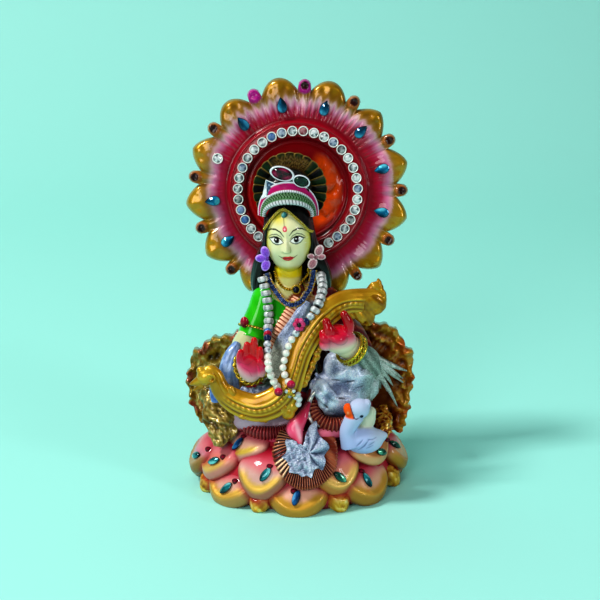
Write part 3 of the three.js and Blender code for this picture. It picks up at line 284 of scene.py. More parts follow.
def wrinkles(points, size, seed):
    """Soft irregular folds between -1 and 1, about `size` millimetres apart."""
    rng = np.random.default_rng(seed)
    total = np.zeros(len(points))
    for octave, weight in ((1.0, 1.0), (1.9, 0.5), (3.7, 0.25)):
        for _ in range(3):
            way = rng.normal(size=3)
            way /= np.linalg.norm(way)
            bend = rng.normal(size=3) / (size * 2.2)
            phase = rng.uniform(0, 6.28, 2)
            wave = np.sin(
                points @ way * 2 * np.pi * octave / size + 1.4 * np.sin(points @ bend + phase[0])
                + phase[1]
            )
            total += weight * wave / 3
    return total


def petal_frame(tier):
    angle, tilt = math.radians(tier["angle"]), math.radians(tier["tilt"])
    away = np.array([math.cos(angle), math.sin(angle), 0])
    along = np.array([away[0] * math.cos(tilt), away[1] * math.cos(tilt), -math.sin(tilt)])
    across = np.array([-away[1], away[0], 0])
    face = np.cross(along, across)
    half = np.array(tier["half"], float)
    middle = np.array([away[0] * LOTUS_WIDTH, away[1] * LOTUS_DEPTH, 0]) * tier["tip"] / 2
    middle = middle - along * half[0]
    middle[2] = tier["rise"]
    middle[1] += LOTUS_BACK
    return middle, along, across, face, half


def in_petal(petal, points):
    """Places along, across and off a petal's middle, each as a share of its half size."""
    middle, along, across, face, half = petal
    away = points - middle
    x = away @ along / half[0]
    taper = np.where(x > 0, 1 - 0.2 * x * x, 1 + 0.25 * np.maximum(x, -1))
    return x, away @ across / (half[1] * taper), (away @ face + PETAL_DROOP * x * x) / half[2]


def bell(value, place, width):
    """A soft bump along a value: 1 at its place, and nearly 0 from two widths away."""
    return np.exp(-(((value - place) / width) ** 2))


def lotus_petal(petal):
    """A plump shield with a slightly dished face inside a rolled lip round its tip."""
    middle, along, across, face, half = petal
    u = np.linspace(0, 1, 32) * np.pi
    v = np.linspace(0, 2 * np.pi, 36, endpoint=False)
    uu, vv = np.meshgrid(u, v, indexing="ij")
    x = -np.cos(uu)
    ring = np.sin(uu) ** 0.86
    y = np.sign(np.cos(vv)) * np.abs(np.cos(vv)) ** 0.82 * ring
    z = np.sign(np.sin(vv)) * np.abs(np.sin(vv)) ** 0.82 * ring
    share = np.sqrt(x * x + y * y)
    lip = 0.15 * bell(share, 0.86, 0.07) - 0.12 * bell(share, 0.6, 0.2)
    z = z + lip * smooth_step(-0.3, 0.3, x) * smooth_step(0, 0.25, z)
    taper = np.where(x > 0, 1 - 0.2 * x * x, 1 + 0.25 * x)
    droop = z * half[2] - PETAL_DROOP * x * x
    grid = (
        middle
        + (x * half[0])[..., None] * along
        + (y * taper * half[1])[..., None] * across
        + droop[..., None] * face
    )
    points, faces = skin_of(grid)
    points[:, 2] = np.maximum(points[:, 2], 0)
    return points, faces


def lotus_pedestal():
    petals = [petal_frame(tier) for tier in PETALS]
    shells = [lotus_petal(petal) for petal in petals]
    turn = np.linspace(0, 2 * np.pi, 72, endpoint=False)
    core = [
        (0.1, 0), (0.42, 0), (0.44, 0.15), (0.42, 0.5), (0.36, 0.8), (0.31, 0.97), (0.28, 1.1), (0.1, 1.1)
    ]
    rings = np.array(
        [
            [
                (
                    r * LOTUS_WIDTH * math.cos(t), r * LOTUS_DEPTH * math.sin(t) + LOTUS_BACK,
                    h * SEAT_HEIGHT
                )
                for t in turn
            ]
            for r, h in core
        ]
    )
    shells.append(skin_of(rings))
    points, faces, starts = several(shells)
    paint = np.tile(rgb("b52a3a"), (len(points), 1))
    gilt = np.zeros(len(points))
    starts = starts + [len(points)]
    for k, petal in enumerate(petals):
        own = slice(starts[k], starts[k + 1])
        spot = points[own]
        x, y, z = in_petal(petal, spot)
        face, crescent, lip = PETALS[k].get("paint", (FACE, CRESCENT, LIP))
        share = np.sqrt(x * x + y * y)
        colour = blended(
            [(-1.0, "8e0c22"), (-0.5, "b0142e"), (-0.22, "c83e56"), (0.06, "d67078"), (0.3, face)],
            x + 0.3 * (np.abs(y) - 0.3)
        )
        combs = (
            smooth_step(0.1, 0.9, np.sin(26 * y + 3 * np.sin(4 * y))) * smooth_step(0.5, 0.6, share)
            * smooth_step(0.8, 0.7, share)
        )
        gold = smooth_step(0.54, 0.7, share) * smooth_step(0.1, 0.42, x)
        colour = mix(colour, crescent, gold)
        colour = mix(colour, "d4503c", combs * PETALS[k].get("combed", 0) * gold * 0.8)
        rim = smooth_step(0.84, 0.95, share) * smooth_step(-0.25, 0.3, x)
        colour = mix(colour, lip, rim)
        # The petals' undersides are painted dark maroon and brown: painted shade under them.
        under = smooth_step(0.12, -0.4, z)
        colour = mix(
            colour, blended([(-1, "7a0a1c"), (0, "8a2c1c"), (0.6, "6e4212"), (1, "5c380c")], x),
            0.9 * under
        )
        if PETALS[k]["rise"] == LOBE["rise"]:
            folds = wrinkles(spot, 3.4, k)
            points[own] = spot + 0.45 * folds[:, None] * petal[3]
            # The crumpled gold lobes are painted dark in their hollows and pale on their crests: painted
            # shade and painted highlight.
            colour = blended([(-1.1, "8a5208"), (-0.2, "c08a1c"), (0.4, "e0b43c"), (1.1, "f4dc8c")], folds)
            gold = np.ones(len(spot))
        # Darker crimson is painted in the creases where a petal comes out from under another: the root's
        # crimson paint, deepened as painted shade between the petals.
        near = np.full(len(spot), 9.0)
        for other, neighbour in enumerate(petals):
            if other != k:
                near = np.minimum(near, np.sqrt(sum(c * c for c in in_petal(neighbour, spot))))
        crease = smooth_step(1.3, 1.0, near)
        paint[own] = mix(colour, "a3142e", 0.8 * crease)
        gilt[own] = 0.32 * gold * (1 - crease)
    return piece("lotus_pedestal", points, faces, lacquer("petal_paint", rough=0.38, coat=0.5),
                 "painted_casting", ["figure"], paint, gilt)


lotus_pedestal()

# Halo
# A resin disc with thirteen ogee petals and a round lobe between each pair, glued behind the head.
# A raised ring stands round its dish; crimson lacquer fades through pink streaks into gold petals.
HALO_RADIUS, HALO_LEAN = 53.0, 8.0
HALO_FIRST, HALO_STEP, HALO_PETALS, HALO_SHOWN = -10.6, 28.66, 13, 5
NOTCH_ANGLE, NOTCH_DEPTH, KNOB_MIDDLE, KNOB_RADIUS = 11.2, 46.0, 48.6, 3.2


def halo_point(angle, radius, forward):
    """A point at an angle clockwise from the top, a radius, and a height off the disc's middle plane."""
    lean = math.radians(HALO_LEAN)
    x, y, z = np.sin(angle) * radius, -np.asarray(forward, float), np.cos(angle) * radius
    return np.stack(
        [
            x + 0 * y, 24 + y * math.cos(lean) + z * math.sin(lean),
            133.5 - y * math.sin(lean) + z * math.cos(lean)
        ], -1
    )


def halo_angle(petal, offset=0.0):
    shown = HALO_SHOWN * HALO_STEP
    hidden_step = (360 - 2 * shown) / (HALO_PETALS - 2 * HALO_SHOWN)
    turn = min(max(petal, 0), HALO_SHOWN) * HALO_STEP
    past = min(max(petal - HALO_SHOWN, 0), HALO_PETALS - 2 * HALO_SHOWN) * hidden_step
    last = max(petal - (HALO_PETALS - HALO_SHOWN), 0) * HALO_STEP
    before = offset < 0
    hidden = HALO_SHOWN + before <= petal < HALO_PETALS - HALO_SHOWN + before
    squeeze = hidden_step / HALO_STEP if hidden else 1
    return math.radians(HALO_FIRST + turn + past + last + offset * squeeze)


def petal_reach(offset, point):
    """How far the rim reaches at an angle from a petal's middle: a petal, a notch, then a round knob."""
    away = np.abs(offset) / NOTCH_ANGLE
    ogee = NOTCH_DEPTH + (HALO_RADIUS - NOTCH_DEPTH) * (1 - away**point) if away < 1 else 0
    swing = math.radians(abs(abs(offset) - HALO_STEP / 2))
    half = math.asin(KNOB_RADIUS / KNOB_MIDDLE)
    knob = 0
    if swing < half:
        knob = (
            KNOB_MIDDLE * math.cos(swing)
            + math.sqrt(KNOB_RADIUS**2 - (KNOB_MIDDLE * math.sin(swing)) ** 2)
        )
    return max(ogee, knob, NOTCH_DEPTH)


def halo_disc():
    rng = np.random.default_rng(4)
    per_petal, angles, offsets, reach = 44, [], [], []
    for petal in range(HALO_PETALS):
        for k in range(per_petal):
            offset = (k / per_petal - 0.5) * HALO_STEP
            angles.append(halo_angle(petal, offset))
            offsets.append(offset)
            # The petals at the sides are more pointed than those at the top.
            reach.append(petal_reach(offset, 2.0 if petal in (0, 1, 12) else 1.5))
    angles, offsets, reach = map(np.array, (angles, offsets, reach))
    inner = np.array(
        [
            0.5, 6, 11, 15, 18, 20, 21.4, 22.1, 22.6, 23.1, 23.6, 24.4, 24.9, 25.3, 25.7, 26.4, 27.4,
            28.6, 29.8, 30.6, 31.1, 31.5, 31.9, 32.4, 32.9, 33.4, 34.0
        ]
    )
    inner_high = np.array(
        [
            2.4, 2.4, 2.5, 2.6, 2.8, 3.0, 3.2, 3.5, 4.1, 3.5, 3.5, 4.0, 6.6, 7.9, 7.6, 7.8, 8.2, 8.4, 8.2,
            7.9, 7.7, 8.5, 7.9, 7.2, 5.6, 5.2, 5.2
        ]
    )
    share = np.linspace(0, 1, 25)[1:]
    rings = []
    for r, h in zip(inner, inner_high):
        crumple = 0.0
        if r < 21:
            spot = angles * 57.3 % 360
            crumple = smooth_step(25, 45, spot) * smooth_step(165, 140, spot) * smooth_step(11, 15, r)
            crumple = crumple * (0.8 * np.sin(7 * angles + 0.8 * r) + 0.5 * np.sin(15 * angles - 1.3 * r))
        rings.append((np.full(len(angles), r), h + crumple * np.ones(len(angles))))
    phases = rng.uniform(0, 6.28, 5)
    streak = sum(np.cos(n * angles + p) for n, p in zip((97, 113, 71, 131, 157), phases)) / 2.2
    for t in share:
        r = 34 + (reach - 34) * t
        away = np.abs(offsets) / NOTCH_ANGLE
        window = smooth_step(34.2, 35.6, r) * smooth_step(45.5, 40.5, r)
        ridge = 0.34 * streak * window * (0.12 + 0.88 * smooth_step(0.2, 0.9, np.cos(angles)))
        edge = np.clip(1 - t, 0, 1) * (reach - 34)
        pillow = 1.3 * smooth_step(37, 44, r) * np.clip(1 - away**2, 0, 1) * smooth_step(0, 3.5, edge)
        swing = np.radians(np.abs(np.abs(offsets) - HALO_STEP / 2)) * KNOB_MIDDLE
        from_knob = np.hypot(swing, r - KNOB_MIDDLE)
        knob = 1.5 * smooth_step(3.6, 2.0, from_knob) - 0.9 * smooth_step(1.9, 1.3, from_knob)
        dimple = -0.5 * bell(np.abs(offsets), 3.4, 2.2) * bell(r, 48.5, 2.0)
        valley = -1.1 * bell(np.abs(offsets), NOTCH_ANGLE, 1.5) * smooth_step(38, 44, r)
        fall = -2.2 * (1 - smooth_step(0, 1.6, edge))
        rings.append((r, 5.3 + ridge + pillow + knob + dimple + valley + fall))
    front = np.array([halo_point(angles, r, h) for r, h in rings])
    last_r = rings[-1][0]
    side = np.array([halo_point(angles, last_r * s, h) for s, h in ((1.0, 2.2), (0.992, 1.0), (0.975, 0.4))])
    back = np.array(
        [halo_point(angles, 30 + (last_r - 30) * s, h) for s, h in ((0.6, 0.0), (0.2, -0.8), (0, -1))]
    )
    back = np.concatenate([back, [halo_point(angles, np.full(len(angles), 8.0), -1.0)]])
    grid = np.concatenate([front, side, back])
    points, faces = skin_of(grid)
    radius = np.concatenate([np.array([r for r, _ in rings]).ravel(), np.repeat(last_r[None], 6, 0).ravel(),
                             np.full(len(angles), 8.0), [0, 0]])
    around = np.concatenate([np.tile(angles, len(grid)), [0, 0]])
    offset = np.concatenate([np.tile(offsets, len(grid)), [0, 0]])
    top = smooth_step(0.3, 0.95, np.cos(around))
    wobble = (
        1.2 * np.sin(3 * around + 1) + 0.8 * np.sin(around * 13 + 0.5)
        + (0.2 + 1.1 * top) * np.cos(71 * around + phases[0])
    )
    # More pink shows on the left of the disc, more crimson at the top and right.
    left = 0.5 - 0.5 * np.sin(around)
    colour = blended(
        [
            (0, "7c0410"), (22, "8a0410"), (24.5, "7a0412"), (25.5, "920618"), (32, "9a081e"),
            (33.4, "7e061a"), (35.5, "9c0a28"), (38.5, "a41a44"), (41.2, "c47096"), (43.0, "c4949a"),
            (44.6, "94682e"), (47, "8a5c0c"), (50, "a8780e"), (54, "946810")
        ], radius + np.where(radius > 34, wobble * 0.8 + (left - 0.4) * 2.0 * (radius < 45), 0)
    )
    spot = np.degrees(around) % 360
    orange = (
        smooth_step(20, 42, spot) * smooth_step(168, 140, spot) * smooth_step(9, 12, radius)
        * smooth_step(20.6, 19.4, radius)
    )
    colour = mix(colour, "ff5408", orange)
    # A brighter red is painted at the lower left of the dish and up its wall: partly the dish's own red,
    # partly a painted reflection on the glossy wall.
    low_left = (
        smooth_step(200, 225, spot) * smooth_step(300, 275, spot) * smooth_step(9, 12, radius)
        * smooth_step(24.2, 23.2, radius)
    )
    colour = mix(colour, "d00c10", low_left)
    swing = np.radians(np.abs(np.abs(offset) - HALO_STEP / 2)) * KNOB_MIDDLE
    from_knob = np.hypot(swing, radius - KNOB_MIDDLE)
    knob = smooth_step(3.7, 2.8, from_knob)
    colour = mix(colour, "a8622a", knob)
    for turn in (3.7, 3.7 - HALO_STEP):
        near = np.abs((spot - turn + 180) % 360 - 180) * math.pi / 180 * KNOB_MIDDLE
        colour = mix(colour, "b40a86", smooth_step(4.0, 3.2, np.hypot(near, radius - KNOB_MIDDLE)))
    bare = np.abs((spot - 3.7 + HALO_STEP + 180) % 360 - 180) < 6
    colour = mix(colour, "2c0a08", smooth_step(2.2, 1.7, from_knob) * ~bare)
    streaky = 0.5 + 0.5 * np.cos(113 * around + phases[1]) * np.cos(71 * around + phases[2])
    colour = mix(
        colour, "e8c3c6",
        0.5 * streaky**2 * smooth_step(37, 41, radius) * smooth_step(45, 42, radius) * (0.12 + 0.88 * top)
    )
    gold = smooth_step(43.5, 47, radius + wobble * 0.8) * (1 - knob)
    colour = mix(colour, "c6941a", 0.55 * gold * smooth_step(0.85, 0.1, np.cos(around)))
    rim = np.zeros(len(points), bool)
    rim[len(rings) * len(angles) :] = True
    colour[rim] = rgb("7a4a12")
    return piece("halo_disc", points, faces, lacquer("halo_paint", rough=0.3, coat=1.0, bump=0.03),
                 "painted_halo", ["halo"], colour, 0.45 * gold)


halo_disc()

# Lap, knees and skirt
# The crossed legs under a maroon sari with a copper border, a lavender fold and a glossy pink tongue of
# lining. All of it belongs to the casting, and is painted by hand in small strokes.
def turned(points, turn):
    spin = Matrix.Rotation(math.radians(turn[0]), 3, "X") @ Matrix.Rotation(math.radians(turn[1]), 3, "Y")
    spin = spin @ Matrix.Rotation(math.radians(turn[2]), 3, "Z")
    return points @ np.array(spin).T


def egg(centre, half, turn=(0, 0, 0), sides=40, rings=26, shape=None):
    u, v = np.meshgrid(
        np.linspace(0.02, np.pi - 0.02, rings), np.linspace(0, 2 * np.pi, sides, endpoint=False),
        indexing="ij"
    )
    ball = np.stack([np.sin(u) * np.cos(v), np.sin(u) * np.sin(v), np.cos(u)], -1)
    if shape:
        ball = shape(ball)
    points, faces = skin_of(ball * np.array(half, float))
    return turned(points, turn) + np.array(centre, float), faces


def through(stations, steps):
    """A smooth line through stations, at even steps of its stations' count."""
    s = np.array([tuple(p) + (p[3],) * (5 - len(p)) if len(p) > 3 else tuple(p) for p in stations], float)
    padded = np.vstack([2 * s[0] - s[1], s, 2 * s[-1] - s[-2]])
    t = np.linspace(0, len(s) - 1, steps)
    i = np.minimum(t.astype(int), len(s) - 2)
    f = (t - i)[:, None]
    a, b, c, d = (padded[i + k] for k in range(4))
    return 0.5 * (2 * b + (c - a) * f + (2 * a - 5 * b + 4 * c - d) * f**2 + (3 * b - a - 3 * c + d) * f**3)


def frames_along(line, facing=(0, -1, 0)):
    along = np.gradient(line, axis=0)
    along /= np.linalg.norm(along, axis=1)[:, None]
    across = np.cross(along, np.array(facing, float))
    across /= np.maximum(np.linalg.norm(across, axis=1), 1e-6)[:, None]
    return along, across, np.cross(across, along)


def limb(stations, sides=40, steps=60, facing=(0, -1, 0), swell=None):
    """A limb through stations of x, y, z, half width and half depth, swollen by angle and share."""
    line = through(stations, steps)
    _, across, out = frames_along(line[:, :3], facing)
    angle = np.linspace(0, 2 * np.pi, sides, endpoint=False)
    wide, deep = np.maximum(line[:, 3], 0.1), np.maximum(line[:, 4], 0.1)
    t = np.linspace(0, 1, steps)
    size = np.ones((steps, sides))
    if swell:
        size = swell(angle[None, :], t[:, None]) * size
    size[0] *= 0.6
    size[-1] *= 0.6
    grid = (
        line[:, None, :3]
        + (size * np.cos(angle) * wide[:, None])[..., None] * across[:, None, :]
        + (size * np.sin(angle) * deep[:, None])[..., None] * out[:, None, :]
    )
    return skin_of(grid)


def points_of(mesh):
    co = np.zeros(len(mesh.vertices) * 3, np.float32)
    mesh.vertices.foreach_get("co", co)
    out = np.zeros(len(mesh.vertices) * 3, np.float32)
    mesh.vertex_normals.foreach_get("vector", out)
    return co.reshape(-1, 3).astype(float), out.reshape(-1, 3).astype(float)


def cast_together(shells, grain=0.55, soften=4):
    """Shells run together into one skin, with its points, faces and ways out."""
    points, faces, _ = several(shells)
    mesh = bpy.data.meshes.new("rough")
    mesh.from_pydata(points.tolist(), [], faces)
    made = bmesh.new()
    made.from_mesh(mesh)
    bmesh.ops.recalc_face_normals(made, faces=made.faces)
    made.to_mesh(mesh)
    made.free()
    rough = bpy.data.objects.new("rough", mesh)
    bpy.context.scene.collection.objects.link(rough)
    one = rough.modifiers.new("one", "REMESH")
    one.mode = "VOXEL"
    one.voxel_size = grain
    soft = rough.modifiers.new("soft", "SMOOTH")
    soft.factor = 0.5
    soft.iterations = soften
    done = rough.evaluated_get(bpy.context.evaluated_depsgraph_get()).to_mesh()
    co, out = points_of(done)
    quads = [tuple(p.vertices) for p in done.polygons]
    bpy.data.objects.remove(rough)
    return co, quads, out


def near_line(points, line):
    """How far points are from a line of points, and how far along it they are as a share."""
    line = np.asarray(line, float)
    gap = np.full(len(points), 1e9)
    along = np.zeros(len(points))
    for k in range(len(line) - 1):
        way = line[k + 1] - line[k]
        t = np.clip(((points - line[k]) @ way) / (way @ way), 0, 1)
        d = np.linalg.norm(points - line[k] - t[:, None] * way, axis=1)
        closer = d < gap
        gap[closer] = d[closer]
        along[closer] = (k + t[closer]) / (len(line) - 1)
    return gap, along


cloth_paint = lacquer("sari_paint", rough=0.32, coat=0.6, bump=0.12, grain=700, mottle=0.18)


def lap():
    shells = [
        egg((0, -3, 33), (36, 25, 12.5)),
        egg((-21, -14, 36), (15, 12.5, 9.5), (0, 0, -18)),
    ]
    co, faces, out = cast_together(shells, 0.95, 6)
    x, y, z = co.T
    folds = wrinkles(co * (1, 1, 1.6), 9, 11)
    co = co + out * (0.55 * folds)[:, None]
    # The sari is painted darker in the hollows of its folds and lighter on their crests: painted shade and
    # painted highlight.
    colour = mix("5c1020", "8e1c30", smooth_step(-0.6, 0.8, folds))
    colour = mix(colour, "d0406a", smooth_step(30, 27.5, z) * smooth_step(-8, -18, y))
    lavender = smooth_step(-2, -6, x) * smooth_step(31.2, 33, z) * smooth_step(-14, -20, y)
    colour = mix(colour, "c3a3b8", lavender)
    return piece("lap", co, faces, cloth_paint, "painted_casting", ["figure"], colour, 0.0 * x)


lap()


def border(name, stations, pleat_count, body="8a2a22", edge="e0a07a", depth=0.16):
    """A pleated ribbon of sari border: copper threads on maroon."""
    steps = 8 * pleat_count
    points, faces = limb(stations, sides=26, steps=steps,
                         swell=lambda a, t: 1 + depth * np.cos(2 * np.pi * pleat_count * t + 0.6 * np.sin(a)))
    t = np.append(np.repeat(np.linspace(0, 1, steps), 26), [0, 1])
    wave = 0.5 + 0.5 * np.cos(2 * np.pi * pleat_count * t)
    colour = mix(body, edge, wave**2 * 0.85)
    return piece(name, points, faces, cloth_paint, "painted_casting", ["figure"], colour, 0.5 * wave**2)


border(
    "lap_border",
    [
        (-29, -19, 33, 1.6, 2), (-18, -27, 31.6, 2.8, 2.6), (-8, -28.5, 32.4, 3, 2.6),
        (-1, -27, 35, 2.2, 2)
    ], 23, "64101e", "bc5050", 0.16
)
border(
    "knee_border",
    [
        (5.5, -23, 46, 2.2, 2.6), (8.5, -28.5, 40, 2.8, 3), (15, -30, 36.6, 3.2, 3),
        (23, -27, 36.4, 2.8, 3)
    ], 16, "6a1a1e", "b9664a"
)

lining_paint = lacquer("lining_paint", rough=0.18, coat=1.0, bump=0.03)


def pink_lining():
    tongue = [
        (4.8, -26.6, 46, 1.4, 2.4), (2.0, -31.4, 41, 3.0, 2.8), (-1.2, -34.2, 36.4, 4.7, 2.4),
        (0.4, -36.4, 32.6, 2.6, 1.8), (1.9, -38.2, 29.4, 0.6, 1.0)
    ]
    points, faces = limb(
        tongue, 60, 80, swell=lambda a, t: 1 - 0.16 * np.cos(2 * a) + 0.05 * np.cos(3 * a + 2)
    )
    x, y, z = points.T
    colour = blended(
        [(27, "a8102c"), (31, "d21f48"), (36, "e8577e"), (41, "d93a62"), (47, "8e1430")],
        z + 0.8 * np.sin(x)
    )
    # A pale pink streak down the middle of the tongue is a painted highlight.
    colour = mix(
        colour, "f6b3c2",
        0.8 * bell(x + 0.3 * (z - 36), 0.4, 1.1) * smooth_step(30, 34, z)
        * smooth_step(43, 38, z)
    )
    cast("pink_lining", points, faces, lining_paint, colour)
    strip = [
        (-16, -24, 28.6, 1.6, 3), (-4, -30, 29.4, 2.4, 3.4), (6, -31, 31.5, 2.6, 3.4),
        (14, -30, 33, 2.8, 3.2), (24, -26, 32.5, 2.4, 3)
    ]
    points, faces = limb(strip, 26, 70, swell=lambda a, t: 1 + 0.08 * np.sin(9 * t + a))
    colour = blended([(27, "b01c40"), (31, "dd4f70"), (35, "ee8098"), (38, "c22a50")], points[:, 2])
    cast("pink_hem", points, faces, lining_paint, colour)


pink_lining()


# Skirt fan
# The front pleats of the sari spread in a half round over the petals, copper on maroon, and on top of
# them lies a torn-edged leaf of silver glitter cloth with deep veins. Both are part of the casting.
FAN_CENTRE = np.array([3.2, -35.2, 30.6])
FAN_DOWN = np.array([0, -0.6, -0.8])
FAN_OUT = np.array([0, -0.8, 0.6])


def fan_spot(angle, reach, lift):
    return (
        FAN_CENTRE
        + (np.cos(angle) * reach * 1.22)[..., None] * FAN_DOWN
        + (np.sin(angle) * reach)[..., None] * np.array([1.0, 0, 0])
        + lift[..., None] * FAN_OUT
    )


def plate(top, under):
    """A closed plate between two grids of points of the same size."""
    n, m = top.shape[:2]
    points = np.vstack([top.reshape(-1, 3), under.reshape(-1, 3)])
    faces = []
    for i in range(n - 1):
        for j in range(m - 1):
            a = i * m + j
            faces.append((a, a + 1, a + m + 1, a + m))
            faces.append((n * m + a, n * m + a + m, n * m + a + m + 1, n * m + a + 1))
    edge = [j for j in range(m)] + [i * m + m - 1 for i in range(1, n)]
    edge += [(n - 1) * m + j for j in range(m - 2, -1, -1)] + [i * m for i in range(n - 2, 0, -1)]
    for k in range(len(edge)):
        a, b = edge[k], edge[(k + 1) % len(edge)]
        faces.append((b, a, n * m + a, n * m + b))
    return points, faces


def skirt_pleats():
    across, up = 400, 14
    u, v = np.meshgrid(np.linspace(-1, 1, across), np.linspace(0, 1, up), indexing="ij")
    angle = np.radians(112 * u)
    # Narrow pleats, then a few broad ones at the lower left, then narrow ones again that flatten out on
    # the right.
    count = np.interp(u, [-1, -0.67, -0.55, -0.3, 0.45, 1], [0, 6.5, 8.5, 12.5, 34, 46])
    wave = np.cos(2 * np.pi * (count + 0.12 * np.sin(5 * v + 9 * u)))
    ridge = np.sign(wave) * np.abs(wave) ** 0.5
    height = 0.34 - 0.26 * smooth_step(0.3, 0.55, u)
    rim = np.interp(
        np.degrees(angle), [-112, -98, -76, -36, -7, 22, 56, 85, 112],
        [12, 12.7, 15.2, 16.5, 17.4, 17.4, 16.8, 14.4, 13]
    )
    reach = 4 + (rim - 4) * v + (v > 0.96) * 0.2 * ridge
    sag = -1.4 * v - 2.6 * np.clip(v - 0.75, 0, 1) ** 1.3
    crumple = 0.5 * np.sin(11 * u) * v + 0.3 * np.sin(29 * u + 4 * v) * smooth_step(0.4, 0.7, u)
    top = fan_spot(angle, reach, sag + height * ridge * smooth_step(0.1, 0.5, v) + 1.2 + crumple)
    under = fan_spot(angle, reach * 0.98, sag - 3.2)
    points, faces = plate(top, under)
    ridges, vv, uu = (np.concatenate([k.ravel(), k.ravel()]) for k in (ridge, v, u))
    copper = smooth_step(-0.1, 0.8, ridges)
    colour = mix("38080a", "70241a", copper)
    bars = smooth_step(-0.64, -0.7, uu)
    colour = mix(colour, "b87654", 0.85 * copper * bars)
    cream = smooth_step(-0.56, -0.53, uu) * smooth_step(-0.3, -0.34, uu)
    colour = mix(colour, "f0c49c", copper * cream)
    right = smooth_step(0.34, 0.6, uu)
    colour = mix(
        colour, mix("6e2414", "a4583a", smooth_step(-0.6, 0.9, np.sin(17 * uu + 6 * vv))), 0.95 * right
    )
    thread = smooth_step(0.86, 0.99, ridges) * smooth_step(-0.34, -0.28, uu) * (1 - right)
    colour = mix(colour, "d08a66", 0.8 * thread * smooth_step(0.45, 0.6, vv))
    colour = mix(colour, "b8603e", smooth_step(0.95, 0.98, vv) * 0.5)
    cast("skirt_pleats", points, faces, cloth_paint, colour, 0.3 * copper)


skirt_pleats()


def glitter_cloth(name, rough=0.34, sparkle=2600, strength=0.5):
    """Paint with glitter dusted on it: tiny flakes that each tilt their own way and catch the light."""
    finish = lacquer(name, rough=rough, coat=0.5, bump=0.05)
    tree = finish.node_tree
    shader = tree.nodes["Principled BSDF"]
    flakes = tree.nodes.new("ShaderNodeTexVoronoi")
    flakes.inputs["Scale"].default_value = sparkle
    place = next(n for n in tree.nodes if n.type == "TEX_COORD")
    tree.links.new(place.outputs["Object"], flakes.inputs["Vector"])
    relief = tree.nodes.new("ShaderNodeBump")
    relief.inputs["Strength"].default_value = strength
    relief.inputs["Distance"].default_value = 0.0003
    grey = tree.nodes.new("ShaderNodeRGBToBW")
    tree.links.new(flakes.outputs["Color"], grey.inputs["Color"])
    tree.links.new(grey.outputs["Val"], relief.inputs["Height"])
    old = next(n for n in tree.nodes if n.type == "BUMP" and n != relief)
    tree.links.new(old.outputs["Normal"], relief.inputs["Normal"])
    tree.links.new(relief.outputs["Normal"], shader.inputs["Normal"])
    tint = tree.nodes.new("ShaderNodeMix")
    tint.data_type = "RGBA"
    tint.blend_type = "OVERLAY"
    tint.inputs["Factor"].default_value = 0.55
    paint_link = shader.inputs["Base Color"].links[0].from_socket
    tree.links.new(paint_link, tint.inputs["A"])
    tree.links.new(grey.outputs["Val"], tint.inputs["B"])
    tree.links.new(tint.outputs["Result"], shader.inputs["Base Color"])
    return finish


silver_glitter = glitter_cloth("silver_glitter")


def torn_leaf():
    """Ragged points lie round a hub, as [across, down] over the fan, and folds run out to each."""
    hub = np.array([1.8, 5.6])
    ragged = [
        (-8.3, -0.9), (-6.3, -0.2), (-4.4, 0.2), (-2.4, 1.2), (-1.1, 2.5), (-0.2, 0), (0.6, -3.4),
        (2.2, -6.4), (4.4, -8.6), (5.4, -8.2), (5.6, -5.6), (5.9, -3.6), (7.9, -0.6), (10.4, 1.4),
        (10.9, 3.2), (9.6, 5), (8.6, 6.8), (9.2, 9), (7.9, 12.9), (6.2, 12.2), (4.4, 12.8), (3.6, 14.6),
        (2.9, 16.6), (0.9, 15.6), (-1.4, 16), (-3.4, 14.6), (-7, 14.2), (-6.8, 12), (-7.6, 10.2),
        (-8.6, 8.6), (-10.3, 7.4), (-8.6, 5.2), (-8.2, 3.2), (-8.9, 1)
    ]
    edge = through([(x, 0, d) for x, d in ragged + ragged[:1]], 220)[:-1]
    away = np.stack([edge[:, 0], edge[:, 2]], -1) - hub
    turn = np.arctan2(away[:, 0], away[:, 1])
    rings = np.concatenate([np.linspace(0.03, 1, 32), [0.98], np.linspace(0.9, 0.1, 6)])
    # Veins sweep from the stem down into the lobes on the right; the left half is only crumpled.
    swirl = smooth_step(-0.4, 0.4, turn)
    right_side = 0.15 + 0.85 * swirl
    grid = []
    for k, r in enumerate(rings):
        spot = hub + away * r
        fold = np.cos(7 * turn + 0.8 * np.sin(2 * turn) - 2.4 * r * swirl) * right_side
        stem = smooth_step(1.5, 2.4, np.abs(turn))
        depth = 0.6 * np.abs(fold) ** 0.5 * np.sign(fold) * smooth_step(0, 0.3, r) * (1 - 0.4 * r)
        lift = 3.4 + depth - 2.2 * r * r + 2.4 * stem * r
        lift = lift - (1.2 + 1.2 * r if k >= 33 else 0)
        grid.append(
            FAN_CENTRE + spot[:, 1:] * FAN_DOWN + spot[:, :1] * np.array([1.0, 0, 0])
            + lift[:, None] * FAN_OUT
        )
    points, faces = skin_of(np.array(grid))
    folds = np.append(
        np.concatenate(
            [np.cos(7 * turn + 0.8 * np.sin(2 * turn) - 2.4 * r * swirl) * right_side for r in rings]
        ), [0, 0]
    )
    reach = np.append(np.repeat(rings, len(turn)), [0, 0])
    left = 1 - np.append(np.tile(swirl, len(rings)), [0, 0])
    crumple = 0.7 * wrinkles(points, 4.1, 17) + 0.6 * wrinkles(points * (1, 1.7, 1.3), 2.3, 29)
    points += (0.2 + 0.5 * left)[:, None] * (crumple * smooth_step(0.1, 0.4, reach))[:, None] * FAN_OUT
    # The leaf is painted lighter on its raised folds and crumples, and dark in the deep vein troughs: painted
    # highlight and painted shade.
    colour = mix("6c7894", "b4bed4", smooth_step(-0.8, 0.7, folds + 0.9 * crumple))
    colour = mix(colour, "323c54", smooth_step(-0.7, -0.95, folds) * smooth_step(1.0, 0.7, reach) * 0.85)
    cast("silver_leaf", points, faces, silver_glitter, colour, 0.2)


torn_leaf()


